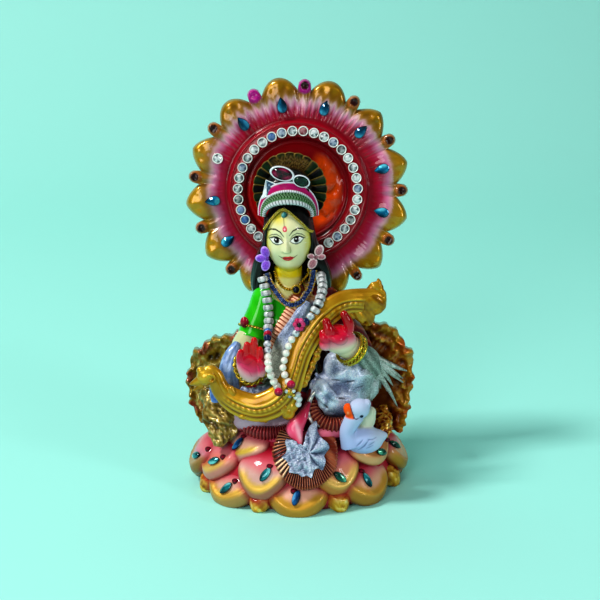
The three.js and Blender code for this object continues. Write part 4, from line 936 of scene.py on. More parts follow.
# Face, neck and hair
# The head is cast with the body, then painted: pale skin, arched brows, almond eyes lined in black and
# red lips. The hair is thick glossy black over combed grooves.
HEAD_MIDDLE = np.array([-4.1, -3.5, 116.6])


def mound(x, z, cx, cz, wide, tall):
    return bell(x, cx, wide) * bell(z, cz, tall)


def stroke(x, z, line, widths, soft=0.1):
    """How much of each point a brush stroke covers. widths are its half widths at the line's points."""
    gap, along = near_line(np.stack([x, z], -1), line)
    half = np.interp(along, np.linspace(0, 1, len(widths)), widths)
    return smooth_step(half + soft, half - soft, gap)


def midline(z):
    return -4.5 - 0.055 * (z - 103.6)


def eye_parts(x, z, side):
    """The almond of one eye and its strokes, in its own frame with x towards the temple."""
    ex = side * (x - (-4.95 + side * 4.5))
    ez = z - (118.2 + side * 0.3) - 0.04 * ex
    almond = smooth_step(
        0.1, -0.1, np.abs(ez - 0.05 * ex) - 1.55 * np.clip(1 - (ex / 3.0) ** 2, 0, 1) ** 0.75
    )
    upper = stroke(
        ex, ez, [(-3.1, -0.3), (-1.9, 0.95), (-0.3, 1.65), (1.3, 1.5), (2.6, 0.8), (3.8, 0.3)],
        [0.12, 0.26, 0.34, 0.34, 0.3, 0.1]
    )
    lower = stroke(
        ex, ez, [(-3.1, -0.3), (-1.8, -1.25), (0, -1.7), (1.7, -1.15), (3.2, 0.35)],
        [0.1, 0.18, 0.26, 0.24, 0.14]
    )
    crease = stroke(
        ex, ez, [(-3.1, 0.5), (-1.8, 2.15), (0.1, 2.95), (2.2, 2.3), (3.8, 0.9)],
        [0.08, 0.17, 0.22, 0.2, 0.1]
    )
    brow = stroke(
        ex, ez, [(-3.4, 2.1), (-1.7, 4.2), (0.5, 5.1), (2.4, 4.7), (4.1, 3.3)],
        [0.1, 0.28, 0.34, 0.28, 0.08]
    )
    iris = smooth_step(1.35, 1.18, np.hypot(ex + 0.05, ez - 0.2))
    pupil = smooth_step(0.85, 0.65, np.hypot(ex + 0.05, ez - 0.2))
    glint = smooth_step(0.36, 0.2, np.hypot(x + 4.95 - side * 4.5 + 0.35, ez - 0.65))
    return almond, upper, lower, crease, brow, iris, pupil, glint


def face_paint(x, z):
    edge = np.abs(x + 4.4) / 10.4
    colour = mix("e3dcae", "dccb52", smooth_step(0.6, 0.95, edge))
    colour = mix(colour, "dfca3a", smooth_step(123, 128, z) * smooth_step(-3, -9, x))
    colour = mix(colour, "d9c63a", smooth_step(106.6, 103.4, z))
    # An olive patch beside the nose and two olive lines along its right side and under it are painted shade
    # of the nose.
    colour = mix(colour, "c9c894", 0.5 * mound(x, z, midline(114) + 1.6, 114.4, 1.0, 2.4))
    colour = mix(
        colour, "9a9a62",
        stroke(x, z, [(-3.4, 115.6), (-3.0, 113.9), (-3.4, 113.0)], [0.1, 0.22, 0.12], 0.2) * 0.8
    )
    colour = mix(
        colour, "a3a066",
        stroke(
            x, z, [(-6.7, 113.5), (-6.2, 112.9), (-5.2, 112.5), (-4.2, 112.8)],
            [0.1, 0.14, 0.12, 0.1], 0.2
        ) * 0.7
    )
    for side in (-1, 1):
        almond, upper, lower, crease, brow, iris, pupil, glint = eye_parts(x, z, side)
        colour = mix(colour, "f4f2ea", almond)
        colour = mix(colour, "1e0e08", iris * almond)
        colour = mix(colour, "060404", pupil * almond)
        colour = mix(colour, "ffffff", glint * almond)
        for mark in (upper, lower, brow):
            colour = mix(colour, "0a0a0a", mark)
        colour = mix(colour, "14120c", crease * 0.9)
    lx, lz = x + 4.35, z - 110.1 - 0.05 * (x + 4.35)
    top = 1.1 * np.clip(1 - (lx / 2.9) ** 2, 0, 1) ** 0.8 - 0.32 * bell(lx, 0, 0.6)
    bottom = -1.4 * np.clip(1 - (lx / 2.5) ** 2, 0, 1) ** 0.7
    lips = smooth_step(-0.08, 0.08, top - lz) * smooth_step(-0.08, 0.08, lz - bottom) * (np.abs(lx) < 2.9)
    colour = mix(colour, "d8252b", lips)
    # A light pink spot on the lower lip is a painted highlight.
    colour = mix(colour, "f2808a", lips * mound(lx, lz, -0.2, -0.45, 1.0, 0.28) * 0.7)
    mouth = stroke(
        lx, lz,
        [(-4.2, 1.15), (-3.0, 0.4), (-0.9, 0.08), (0, -0.08), (0.9, 0.08), (3.0, 0.45), (4.2, 1.25)],
        [0.08, 0.18, 0.12, 0.1, 0.12, 0.18, 0.08]
    )
    colour = mix(colour, "4a0a10", mouth)
    bx, bz = x + 5.75, z - 123.2
    drop = np.hypot(bx, np.where(bz > 0, bz * 0.62, bz))
    colour = mix(colour, "c8102e", smooth_step(1.08, 0.94, drop))
    colour = mix(colour, "f3a7b0", smooth_step(0.5, 0.3, np.hypot(bx + 0.1, bz - 0.1)))
    return mix(colour, "1c2030", stroke(x, z, [(-6.0, 124.6), (-6.3, 128.5)], [0.12, 0.12]))


skin_paint = lacquer("skin_paint", rough=0.2, coat=1.0, bump=0.02, mottle=0.05)


def head():
    rows, cols = 180, 190
    u = np.linspace(0.02, np.pi - 0.02, rows)
    s = np.linspace(-1, 1, cols, endpoint=False)
    turn = -np.pi / 2 + np.pi * s - 0.62 * np.sin(np.pi * s)
    u, turn = np.meshgrid(u, turn, indexing="ij")
    ball = np.stack([np.sin(u) * np.cos(turn), np.sin(u) * np.sin(turn), np.cos(u)], -1)
    low = np.clip(-ball[..., 2], 0, 1)
    ball[..., 0] *= 1 - 0.24 * low**2.2
    ball[..., 1] *= 1 - 0.12 * low
    points, faces = skin_of(ball * np.array([10.5, 11, 15.9]))
    points += HEAD_MIDDLE
    x, y, z = points.T
    front = smooth_step(-5, -10, y)
    middle = x - midline(z)
    push = 0.5 * bell(middle, 0, 7.5) * mound(0, z, 0, 122.5, 1, 4)
    for side in (-1, 1):
        ex, ez = -4.95 + side * 4.5, 118.2 + side * 0.3
        push = (
            push - 1.0 * mound(x, z, ex - side * 0.6, ez + 0.6, 3.4, 2.6)
            + 0.75 * mound(x, z, ex, ez - 0.1, 2.2, 1.5)
        )
        push = push + 0.55 * mound(x, z, -5 + side * 5.2, 112.8, 3.2, 3)
        push = push + 0.5 * mound(middle, z, side * 1.35, 113.5, 0.7, 0.9)
    ridge = smooth_step(121.5, 113.6, z) * smooth_step(112.3, 113.3, z)
    push = (
        push
        + (0.2 + 2.2 * ridge) * bell(middle, 0, 0.75 + 0.75 * ridge)
        * smooth_step(111.8, 113.3, z) * smooth_step(124, 120, z)
    )
    push = push + 0.9 * mound(middle, z, 0, 110.6, 2.7, 1.7) - 0.45 * mound(middle, z, 0, 110.62, 2.3, 0.28)
    push = push - 0.35 * mound(middle, z, 0, 108.5, 2.2, 0.8) + 0.9 * mound(middle, z, 0, 105.6, 3, 2.2)
    points[:, 1] -= push * front
    colour = np.where((y < -3)[:, None], face_paint(x, z), rgb("d9c63a"))
    cast("head", points, faces, skin_paint, colour)


head()

hair_paint = lacquer("hair_paint", rough=0.35, coat=0.7, bump=0.05, mottle=0.1)


def hair():
    """A cap parted in the middle, a bun inside the fan, and two long locks, all with combed grooves."""
    cap_points, cap_faces = egg((-4.2, -2.2, 118.6), (11.7, 12.8, 16.4), sides=110, rings=80)
    x, y, z = cap_points.T
    roof = 132.2 - 0.8 * np.abs(x + 6.2) ** 1.06
    face = np.minimum(
        smooth_step(0.5, -0.5, z - roof),
        smooth_step(1.0, 0.94, np.hypot((x + 4.2) / 10.5, (z - 115) / 19))
    )
    cap_points[:, 1] += face * 6 * (y < 0)
    comb = np.sin(2.2 * (x + 6.2) * (1 + 0.02 * (130 - z)))
    cap_points += 0.1 * comb[:, None] * np.array([0, -1.0, 0.4])
    bun = egg((-4.4, 3.5, 137), (11, 8, 11), sides=40, rings=28)
    nape = egg((-4.4, 9, 104), (14, 7, 20), sides=40, rings=28)
    strands = lambda a, t: 1 + 0.03 * np.cos(9 * a + 5 * t) + 0.02 * np.sin(17 * a - 9 * t)
    right = [
        (-12.6, -1, 127, 2.6, 6), (-14.2, -0.4, 114, 2.4, 6.4), (-16.6, 0.4, 104, 4.0, 6.4),
        (-18.4, 2.6, 95, 3.6, 5.6), (-19.2, 4, 88, 1.4, 3)
    ]
    left = [
        (4.2, -1, 127, 2.4, 6), (6.4, -0.4, 114, 2.8, 6.2), (8.8, 0.4, 104, 4.8, 6.6),
        (11.6, 2.6, 96, 4.2, 6.2), (13.6, 5, 88, 1.6, 3)
    ]
    points, faces, _ = several(
        [
            (cap_points, cap_faces), bun, nape, limb(right, 50, 60, swell=strands),
            limb(left, 50, 60, swell=strands)
        ]
    )
    colour = mix("060507", "15110f", 0.5 + 0.5 * np.sin(1.3 * points[:, 0]))
    cast("hair", points, faces, hair_paint, colour)


hair()

# Body, blouse and sash
# The trunk and the right sleeve are one glossy green blouse, open in a low V. A striped copper sash
# crosses it, and the silver sari comes up beside the veena; the trunk is painted near-black low on its right.
def trunk():
    stations = [(0, 1, 28, 19, 14), (-1, 1, 44, 15, 12), (-2, 0, 56, 12.5, 10), (-3, -1, 70, 13.5, 11.5),
                (-3.2, 0, 80, 16.5, 11), (-3.4, 2, 88.5, 16, 8.5), (-4, 2, 95, 7, 5)]
    points, faces = limb(stations, 80, 70)
    x, y, z = points.T
    bust = mound(x, z, -10.4, 78.5, 5.2, 5.4) + mound(x, z, 5.4, 79.5, 5.2, 5.4)
    points[:, 1] -= 2.4 * bust * (y < 0)
    neckline = 89.0 + 1.02 * np.abs(x + 4.6) + 0.15 * np.sin(0.8 * x)
    green = smooth_step(0.25, -0.25, z - neckline) * smooth_step(1.5, 0.6, x - 0.35 * (z - 88))
    colour = mix("e3d98c", "22b40e", green)
    sari = smooth_step(-0.6, 0.6, x - (-6.5 + 0.42 * (z - 66)))
    colour = mix(colour, "8290ac", sari * smooth_step(90, 87, z))
    # The trunk is painted near-black low on its right, behind the veena and beside the sari.
    dark = smooth_step(72, 64, z) * smooth_step(0, 6, x)
    colour = mix(colour, "2a2c22", dark)
    copper = smooth_step(-0.4, 0.4, x - 1.2) * smooth_step(86.5, 88.5, z) * smooth_step(98, 95, z)
    colour = mix(colour, "b4562c", copper * (0.6 + 0.4 * np.sin(5 * x + 3 * np.sin(4 * z))))
    cast("trunk", points, faces, skin_paint, colour)


trunk()


def neck():
    points, faces = limb([(-4, 1, 88, 8), (-4.2, -1, 95, 6.6), (-4.4, -1.5, 104, 6.4)], 60, 40)
    x, y, z = points.T
    points[:, 1] -= 0.25 * bell(z, 99.6 + 0.03 * x * x, 0.35)
    colour = blended([(86, "e6dea0"), (98.6, "dfcf7e"), (99.8, "d9b814"), (104, "e2c80c")], z)
    cast("neck", points, faces, skin_paint, colour)
    chest = egg((-4.4, -3.2, 91), (8, 5.4, 8), sides=60, rings=40)
    x, _, z = chest[0].T
    colour = blended([(84, "e9e2b4"), (92, "e6dc96"), (99, "dccb70")], z)
    border = smooth_step(-0.3, 0.3, x + 4.4 - 0.93 * (z - 90))
    colour = mix(colour, mix("7c2c18", "b8622e", 0.5 + 0.5 * np.sin(3.1 * x + 2 * np.sin(2.3 * z))), border)
    colour = mix(colour, "2c3c6c", border * smooth_step(0.75, 0.95, np.sin(2.2 * x) * np.sin(1.9 * z)))
    cast("chest", *chest, skin_paint, colour)


neck()


def right_arm():
    sleeve = [
        (-10, 2, 93, 3, 5), (-15.2, 0, 90, 5, 6), (-17.8, -3, 82, 5.8, 6.4), (-20.4, -6, 74.5, 6.5, 6.4),
        (-21.4, -8, 70.4, 6.5, 6.2)
    ]
    points, faces = limb(sleeve, 60, 70, swell=lambda a, t: 1 + 0.05 * bell(t, 0.985, 0.02))
    shade = 0.06 * np.sin(0.9 * points[:, 0]) * np.sin(0.7 * points[:, 2])
    colour = mix("1fae0c", "35cc18", 0.5 + shade * 6)
    cast("right_sleeve", points, faces, skin_paint, colour)
    forearm = [
        (-21.4, -7, 73, 5.6, 5.2), (-25.2, -10, 67, 5.8, 5.6), (-26, -15, 60, 5.2, 5),
        (-21.4, -27, 60, 4.6, 4.4)
    ]
    points, faces = limb(forearm, 50, 50, facing=(1, 0, 0))
    colour = blended([(54, "d8d6b0"), (66, "d9dcbc"), (72, "c8cc9c")], points[:, 2])
    cast("right_forearm", points, faces, skin_paint, colour)


right_arm()


def sash():
    stations = [
        (1.2, -8.6, 89.4, 3.8, 2.2), (-3, -12.6, 82, 4.5, 1.7), (-8.2, -14.2, 73, 4.4, 1.6),
        (-12.8, -13, 64.8, 1.6, 1.2)
    ]
    bars = 17
    points, faces = limb(stations, 40, 12 * bars, swell=lambda a, t: 1 + 0.05 * np.cos(2 * np.pi * bars * t))
    t = np.append(np.repeat(np.linspace(0, 1, 12 * bars), 40), [0, 1])
    lean = t - 0.004 * (points[:, 0] + 4)
    bar = smooth_step(-0.7, -0.1, np.cos(2 * np.pi * bars * lean))
    colour = mix("a0482a", "f0b898", bar)
    cast("sash", points, faces, cloth_paint, colour, 0.3 * bar)


sash()


def silver_drape():
    """The sari's front fold, between the sash and the veena."""
    stations = [
        (4.4, -10.5, 89, 2, 1.5), (0.4, -14.6, 81, 4.0, 2.2), (-4, -17, 70, 6.4, 2.4),
        (-6.4, -19, 60, 8.2, 2.6), (-8, -22, 52, 8, 3)
    ]
    points, faces = limb(
        stations, 60, 110, swell=lambda a,
        t: 1 + 0.06 * np.cos(3 * a + 14 * t) + 0.04 * np.sin(7 * a + 9 * t)
    )
    x, y, z = points.T
    folds = wrinkles(points, 5, 3)
    colour = mix("7f8eae", "a9b8d4", smooth_step(-0.5, 0.7, folds))
    colour = mix(colour, "a8b09c", smooth_step(-4, -8, x - 0.1 * (70 - z)) * smooth_step(76, 68, z) * 0.8)
    cast("silver_drape", points, faces, silver_glitter, colour, 0.2)


silver_drape()


# Hands
# Both hands are cast with the figure. Dye runs from deep red fingers through magenta palms to pale wrists.
hand_paint = lacquer("hand_paint", rough=0.12, coat=1.0, bump=0.015, mottle=0.05)


def palm(ball):
    ball = ball.copy()
    ball[..., 0] *= 1 + 0.12 * ball[..., 2]
    return ball


def fingers_of(spots):
    shells = []
    for root, knuckle, tip, radius in spots:
        shells.append(limb([(*root, radius), (*knuckle, radius * 0.96), (*tip, radius * 0.72)], 24, 24))
        shells.append(egg(tip, (radius * 0.74, radius * 0.74, radius * 0.8), sides=20, rings=14))
    return shells


def right_hand():
    shells = [egg((-21, -29.5, 65.2), (6.3, 3.8, 8.2), shape=palm)] + fingers_of([
        ((-19.4, -30, 68), (-19.2, -30.8, 74), (-19.2, -31.6, 77.6), 1.95),
        ((-22.6, -30, 68), (-22.6, -30.8, 73), (-22.4, -31.8, 75.6), 1.9),
        ((-25.4, -30, 66), (-25.6, -31.2, 70), (-25.2, -32.4, 72.4), 1.75),
        ((-16.8, -30, 66), (-16.6, -31.4, 70.4), (-16.6, -32.4, 73.6), 1.8),
        ((-16.4, -30.5, 61), (-15.4, -33.2, 65.4), (-16.8, -34.6, 68.6), 1.9),
    ])
    co, faces, out = cast_together(shells, 0.34, 2)
    x, y, z = co.T
    co[:, 1] += 0.7 * mound(x, z, -21.4, 66, 2.4, 3.2) * (y < -30)
    level = z - 0.09 * (x + 21) ** 2 + 0.25 * (x + 21)
    colour = blended(
        [(56.5, "e2cfc0"), (60.5, "e0a0aa"), (63.5, "d63468"), (67, "cc0c38"), (72, "c81418")], level
    )
    lines = (
        stroke(x, z, [(-25.6, 67.6), (-22, 66.4), (-19, 69)], [0.1, 0.2, 0.1], 0.2)
        + stroke(x, z, [(-24, 65.2), (-21.5, 63.6), (-20.4, 61)], [0.1, 0.18, 0.1], 0.2)
    )
    colour = mix(colour, "8a0a2a", np.clip(lines, 0, 1) * 0.55 * (y < -31))
    cast("right_hand", co, faces, hand_paint, colour)


right_hand()


def left_hand():
    shells = (
        [
            egg((18, -25, 76), (8.6, 5.4, 6.8), (0, 24, 0)),
            limb(
                [(18.6, -24.6, 75, 5.8, 5), (22.6, -22.4, 71.6, 5.8, 5.2), (27.5, -19.5, 67.2, 5.8, 5.4)],
                30, 30
            )
        ]
        + fingers_of(
            [
                ((17.2, -26, 77.6), (14.2, -30.4, 81.2), (12.6, -30, 85.4), 2.6),
                ((14.8, -26, 75.6), (12, -30.4, 78), (11, -29.8, 80.2), 2.4),
                ((14.2, -26, 73.6), (11.8, -29.6, 74.4), (11, -29, 75.6), 2.3),
                ((21.2, -26, 77.1), (18.4, -31, 77.6), (14.6, -31.2, 79.2), 2.5),
                ((21.8, -25.4, 77.6), (22.6, -27.6, 83.6), (20.4, -28.4, 88.4), 2.5)
            ]
        )
    )
    co, faces, out = cast_together(shells, 0.38, 2)
    x, y, z = co.T
    level = z - 0.22 * (x - 14)
    colour = blended(
        [
            (66, "d9d2b0"), (71.2, "dcd0b4"), (74, "e0909c"), (76.8, "d4284e"), (81, "c00c24"),
            (85, "9c0410")
        ], level
    )
    cast("left_hand", co, faces, hand_paint, colour)


left_hand()

# Left sleeve, raised knee and loose pleats
# The sari covers the left arm and the raised knee with puffy silver glitter cloth, slit and creased.
# Its loose end is pulled through the wrist and fans out in narrow pleats.
def left_arm():
    upper = [
        (6, 2, 89, 6, 6), (12.4, 1, 87, 6.4, 7), (20.6, -2, 77, 6.4, 7), (27.6, -8, 66, 6.6, 7),
        (31, -12, 58, 6.6, 7)
    ]
    points, faces = limb(upper, 50, 60, swell=lambda a, t: 1 + 0.05 * np.cos(4 * a + 18 * t))
    colour = mix("6c1420", "b5482e", smooth_step(0.1, 0.9, wrinkles(points, 3, 9)))
    cast("left_upper_arm", points, faces, cloth_paint, colour, 0.3)
    cuff = [
        (32, -12, 57, 7.4, 7), (30.6, -16, 62.6, 6.6, 6.4), (27.4, -19.2, 67, 5.4, 5.2),
        (25.2, -20.6, 69.4, 5.3, 5.1)
    ]
    points, faces = limb(cuff, 60, 50, swell=lambda a, t: 1 + 0.04 * np.cos(9 * a + 3 * t))
    colour = mix("5f6a62", "99a39c", 0.5 + 0.5 * np.sin(1.7 * points[:, 0] + points[:, 2]))
    cast("left_cuff", points, faces, silver_glitter, colour, 0.2)


left_arm()


def knee():
    shells = [
        egg((17, -18, 46.8), (12.4, 11.5, 10.4), (0, 25, 0)),
        egg((23, -16.5, 57), (12.4, 9.6, 10), (0, 30, 0)), egg((29, -13, 50), (9, 8, 9), (0, 20, 0)),
        limb(
            [
                (8, -21, 58, 0.8, 1.2), (11.4, -27, 54.4, 2.2, 1.4), (16, -29.6, 50.4, 2.0, 1.2),
                (20.8, -28.6, 48.2, 0.5, 0.6)
            ], 26, 30
        ),
        limb(
            [(6.4, -21, 55, 0.8, 1.2), (9.4, -27.4, 51.4, 1.9, 1.3), (12.6, -29.6, 46.6, 0.8, 0.8)],
            26, 30
        )
    ]
    co, faces, out = cast_together(shells, 0.6, 3)
    x, y, z = co.T
    dents = np.zeros(len(co))
    slits = [
        (17, 56.2, 2.6, 0.35, -0.1), (23.6, 55.6, 3.0, 0.4, 0.3), (19.6, 49.4, 2.4, 0.4, -0.3),
        (12.4, 44.6, 1.4, 0.7, -0.6), (28.4, 52.4, 1.6, 0.35, 0.2), (15.4, 41.4, 1.3, 0.4, -0.5),
        (30.4, 61.6, 1.4, 0.3, 0.5)
    ]
    for cx, cz, wide, tall, slope in slits:
        dents = dents + mound(x, z - slope * (x - cx), cx, cz, wide, tall) * (y < -18)
    folds = 1 - 2 * np.abs(wrinkles(co, 15, 21)) ** 0.7
    co = co - out * (1.4 * dents - 0.45 * folds)[:, None]
    # The cloth is painted lighter on its puffs and darker in its creases, and its dented slits near-black:
    # painted highlight and painted shade.
    colour = mix("6e7a98", "ccd6ea", smooth_step(-0.9, 0.6, folds))
    colour = mix(colour, "0c1020", smooth_step(0.3, 0.75, dents))
    colour = mix(colour, "a0a898", smooth_step(27, 33, x) * 0.6)
    cast("silver_knee", co, faces, silver_glitter, colour, 0.22)
    rim = [
        (9.6, -26, 53.4, 0.7, 0.9), (5.8, -27.4, 48.4, 1.0, 1), (4.6, -29.4, 42.6, 1.0, 1),
        (6.6, -31.4, 38.6, 0.8, 1), (10, -32, 36.8, 0.5, 0.8)
    ]
    points, faces = limb(rim, 20, 80)
    colour = mix("9a9aa4", "e4e0d4", 0.5 + 0.5 * np.sin(3 * points[:, 2]))
    cast("knee_rim", points, faces, cloth_paint, colour, 0.6)
    inside = egg((10, -18.5, 44), (6.5, 8, 9), sides=60, rings=40)
    colour = mix("3a0c12", "7a1c26", 0.5 + 0.5 * wrinkles(inside[0], 2.5, 5))
    cast("knee_lining", *inside, cloth_paint, colour, 0.15)


knee()


def loose_pleats():
    """Narrow folds that leave the wrist side by side, each running out to its own tip over the leaf."""
    tips = [
        (50.4, 56.2), (48.6, 52.4), (48.8, 50.4), (44, 49), (41.6, 46), (46.4, 38.6), (39.8, 49.4),
        (38.4, 47.6), (36.6, 46), (34, 43), (30.6, 40.6)
    ]
    shells = []
    for k, (x, z) in enumerate(tips):
        share = k / (len(tips) - 1)
        root = np.array([26.4 + 2.6 * share, -18.6 + 1.2 * share, 73.4 - 5 * share])
        middle = np.array([36.2 - 3.8 * share, -14.6 - 2.2 * share, 63.6 - 6.6 * share])
        tip = np.array([x, -12.6 - 7 * max(share - 0.7, 0) / 0.3, z])
        bend = middle * 0.5 + tip * 0.5 + np.array([1.2, 0, -1.0])
        shells.append(
            limb(
                [(*root, 1.3, 1.9), (*middle, 1.7, 1.9), (*bend, 1.3, 1.3), (*tip, 0.3, 0.5)], 20, 46,
                swell=lambda a, t: 1 - 0.25 * np.abs(np.cos(a)) ** 8
            )
        )
    points, faces, _ = several(shells)
    colour = mix("7a8478", "b4bcb8", 0.5 + 0.5 * wrinkles(points, 3, 12))
    turn = np.append(np.tile(np.linspace(0, 2 * np.pi, 20, endpoint=False), 46), [0, 0])
    # Each pleat is painted dark along its sides and back, so the strips part with painted shade between them.
    gap = np.tile(smooth_step(0.55, 0.1, np.sin(turn)), len(tips))
    colour = mix(colour, "2c3630", 0.9 * gap)
    cast("loose_pleats", points, faces, silver_glitter, colour, 0.3)


loose_pleats()


# Side cloths and crumpled leaves
# A blue-grey scarf hangs from the right wrist. Behind the figure a crumpled gold leaf stands on each
# side, and its folds spill on to the petals.
def scarf():
    stations = [
        (-27.4, -15, 71, 1.4, 2), (-30, -18, 66, 3.2, 2.6), (-31.8, -20, 59, 4.2, 3.2),
        (-31.6, -20, 50, 4.8, 3.6), (-29, -17, 38, 4, 3)
    ]
    points, faces = limb(
        stations, 60, 70, swell=lambda a, t: 1 + 0.07 * np.cos(5 * a + 6 * t) + 0.03 * np.sin(11 * a)
    )
    folds = wrinkles(points, 4, 2)
    colour = mix("6f8cc4", "9fb6e0", smooth_step(-0.6, 0.7, folds))
    cast("blue_scarf", points, faces, cloth_paint, colour, 0.05)
    tip = [(-36.4, -21, 57.6, 2.2, 2), (-36.9, -26, 51.6, 3, 2.2), (-37.4, -27.4, 46.4, 1.6, 1.4)]
    points, faces = limb(tip, 40, 40)
    colour = mix("4564b8", "7c98dd", smooth_step(-0.8, 0.6, wrinkles(points, 4, 8)))
    cast("blue_tip", points, faces, cloth_paint, colour, 0.05)
    under = [
        (-26, -27, 52.6, 2, 2), (-20, -29, 50.4, 4, 2.4), (-14, -28.6, 53, 3.6, 2.4),
        (-10.6, -26, 58, 2, 2)
    ]
    points, faces = limb(under, 40, 60, swell=lambda a, t: 1 + 0.08 * np.cos(4 * a + 20 * t))
    colour = mix("56607c", "8f99ae", smooth_step(-0.5, 0.7, wrinkles(points, 3, 4)))
    colour = mix(colour, "2c3c34", smooth_step(54, 56, points[:, 2]))
    cast("grey_glitter_fold", points, faces, silver_glitter, colour, 0.2)


scarf()

leaf_paint = lacquer("leaf_paint", rough=0.3, coat=1.0, bump=0.1, grain=500, mottle=0.2)


def crumpled_leaf(name, side, start, end, outline, seed, stops, edge_colour, tips, hollow=0.0):
    """A leaf in polar form about its root: outline is its reach, from the start angle to the end."""
    across, up = 160, 64
    u, v = np.meshgrid(np.linspace(0, 1, across), np.linspace(0, 1, up), indexing="ij")
    angle = np.radians(start + (end - start) * u)
    ruffle = 0.6 * np.sin(u * 37.7) + 0.4 * np.sin(u * 91 + 1) + 0.2 * np.sin(u * 57 + 2)
    reach = np.interp(u, np.linspace(0, 1, len(outline)), outline) * (0.15 + 0.85 * v)
    reach = reach * (1 + 0.026 * ruffle * smooth_step(0.75, 1, v))
    wave = np.sin(u * 37.7 + 1)
    flat = np.stack([side * reach * np.cos(angle), reach * 0, reach * np.sin(angle)], -1).reshape(-1, 3)
    crumple = 1 - 2 * np.abs(wrinkles(flat, 13, seed)).reshape(u.shape) ** 0.8
    fine = 1 - 2 * np.abs(wrinkles(flat, 6, seed + 5)).reshape(u.shape) ** 0.8
    rough = 1 - hollow * smooth_step(0.82, 0.62, v)
    crumple, fine = crumple * rough, fine * rough
    depth = (
        1.2 * v * wave - 5.5 * v * v - (1.3 * crumple + 0.7 * fine) * (0.4 + 0.6 * v)
        - 0.8 * ruffle * smooth_step(0.8, 1, v)
    )
    root = np.array([side * 15.0, 12, 25])
    middle = flat.reshape(*u.shape, 3) + root + depth[..., None] * np.array([0, 1.0, 0])
    bead_edge = 1.1 * np.sqrt(np.clip(1 - ((v - 0.955) / 0.045) ** 2, 0, 1))
    points, faces = plate(
        middle - np.array([0, 1.0, 0]) * (2.0 + bead_edge)[..., None], middle + np.array([0, 2.4, 0])
    )
    high_spots = np.concatenate([(0.8 * crumple + 0.5 * fine).ravel()] * 2)
    uu, vv = (np.concatenate([k.ravel()] * 2) for k in (u, v))
    # The leaf is painted dark in the hollows of its crumples and pale on their crests: painted shade and
    # painted highlight.
    colour = blended(stops, high_spots + 0.3 * wrinkles(points, 5, seed + 9))
    # The right leaf's smooth inside is painted darker brown: partly its own brown, partly painted shade under
    # the fringe.
    colour = mix(colour, "562406", 0.8 * hollow * smooth_step(0.84, 0.66, vv))
    rim = smooth_step(0.88, 0.94, vv)
    colour = mix(colour, edge_colour, rim * 0.85)
    colour = mix(colour, tips, rim * smooth_step(0.1, 0.8, np.sin(uu * 30 + 2)) * 0.8)
    gilt = smooth_step(-0.2, 0.9, high_spots) * 0.3 + 0.2 * rim
    cast(name, points, faces, leaf_paint, colour, gilt)


crumpled_leaf("left_leaf", -1, -8, 88, (28.2, 34.7, 38.8, 43.3, 47.4, 49, 46.6, 46, 44), 31,
              [(-1.2, "3c2a08"), (-0.4, "86681c"), (0.4, "bc9a38"), (1.2, "e6d080")], "8a6a1c", "a04a3c")
crumpled_leaf(
    "right_leaf", 1, -12, 84, (36, 37.9, 39.5, 43.6, 50, 53.6, 55, 53.6, 50.8), 44,
    [(-1.2, "340c02"), (-0.4, "7c3006"), (0.4, "b4600e"), (1.2, "e0aa44")], "c08820", "b04a10",
    hollow=0.85
)


def spill(name, stations, seed, stops):
    steps = 90
    points, faces = limb(
        stations, 64, steps, swell=lambda a,
        t: 1 + 0.1 * np.sin(3 * a + 16 * t) + 0.05 * np.cos(9 * a - 11 * t)
    )
    hanging = points * (1, 1, 0.4)
    folds = 0.8 * (1 - 2 * np.abs(wrinkles(hanging, 4, seed)) ** 0.8) + 0.45 * wrinkles(points, 2.2, seed + 3)
    _, out = near_line(points, [s[:3] for s in stations])
    middle = through(stations, steps)[:, :3]
    away = points - middle[np.minimum((out * (steps - 1)).astype(int), steps - 1)]
    away /= np.maximum(np.linalg.norm(away, axis=1), 0.5)[:, None]
    points = points + 0.45 * folds[:, None] * away
    # The spill is painted dark in the hollows of its folds and pale on their crests: painted shade and
    # painted highlight.
    cast(name, points, faces, leaf_paint, blended(stops, folds), 0.35)


# Stops from painted shade to painted highlight on crumpled gold.
GOLD_STOPS = [(-1.2, "342808"), (-0.3, "6c561e"), (0.4, "967c38"), (1.2, "c8b26c")]
spill(
    "left_spill",
    [
        (-34, -9, 46, 6, 4), (-35.5, -16, 41, 8, 4), (-35, -21, 35, 8, 4), (-35.4, -25, 29.6, 5.6, 3.2),
        (-36.6, -28, 25, 1.8, 2)
    ], 6, GOLD_STOPS
)
spill("left_curl", [(-38, -9, 50, 3.4, 3), (-41.5, -12, 43, 4, 2.4), (-40, -12, 36, 2, 1.5)], 12, GOLD_STOPS)
spill(
    "right_spill", [(40, 3, 31, 3, 3), (41, -6, 27, 3.8, 2.8), (40, -13, 22.4, 2, 1.6)], 15,
    [(-1.2, "501404"), (-0.2, "a04c0a"), (0.5, "d0901c"), (1.2, "f4d070")]
)


def back():
    stations = [(-1, 9, 24, 24, 9), (-2, 11, 50, 20, 6), (-3, 11.5, 74, 18, 5), (-4, 12, 92, 15, 4)]
    points, faces = limb(
        stations, 120, 60, swell=lambda a,
        t: 1 + 0.03 * np.cos(15 * a + 2 * np.sin(5 * t)) + 0.02 * np.cos(23 * a - 3 * t)
    )
    folds = wrinkles(points * (1, 1, 0.35), 7, 71)
    colour = mix("4c0c18", "8a1c30", smooth_step(-0.8, 0.8, folds))
    cast("back", points, faces, cloth_paint, colour, 0.1)


back()

# Veena
# A gilt casting glued across the lap: a boat and neck in one S with raised ridges and a row of dashes,
# a bird's head at one end, a scroll of curled leaves at the other, and a heart-shaped drop and knobs
# below.
old_gold = lacquer("old_gold", rough=0.3, coat=0.8, bump=0.02, mottle=0.1)


def gold_paint(high):
    return blended([(-1.2, "3c2202"), (-0.4, "7e4e04"), (0.2, "b27e12"), (1.0, "d2a62c")], high)


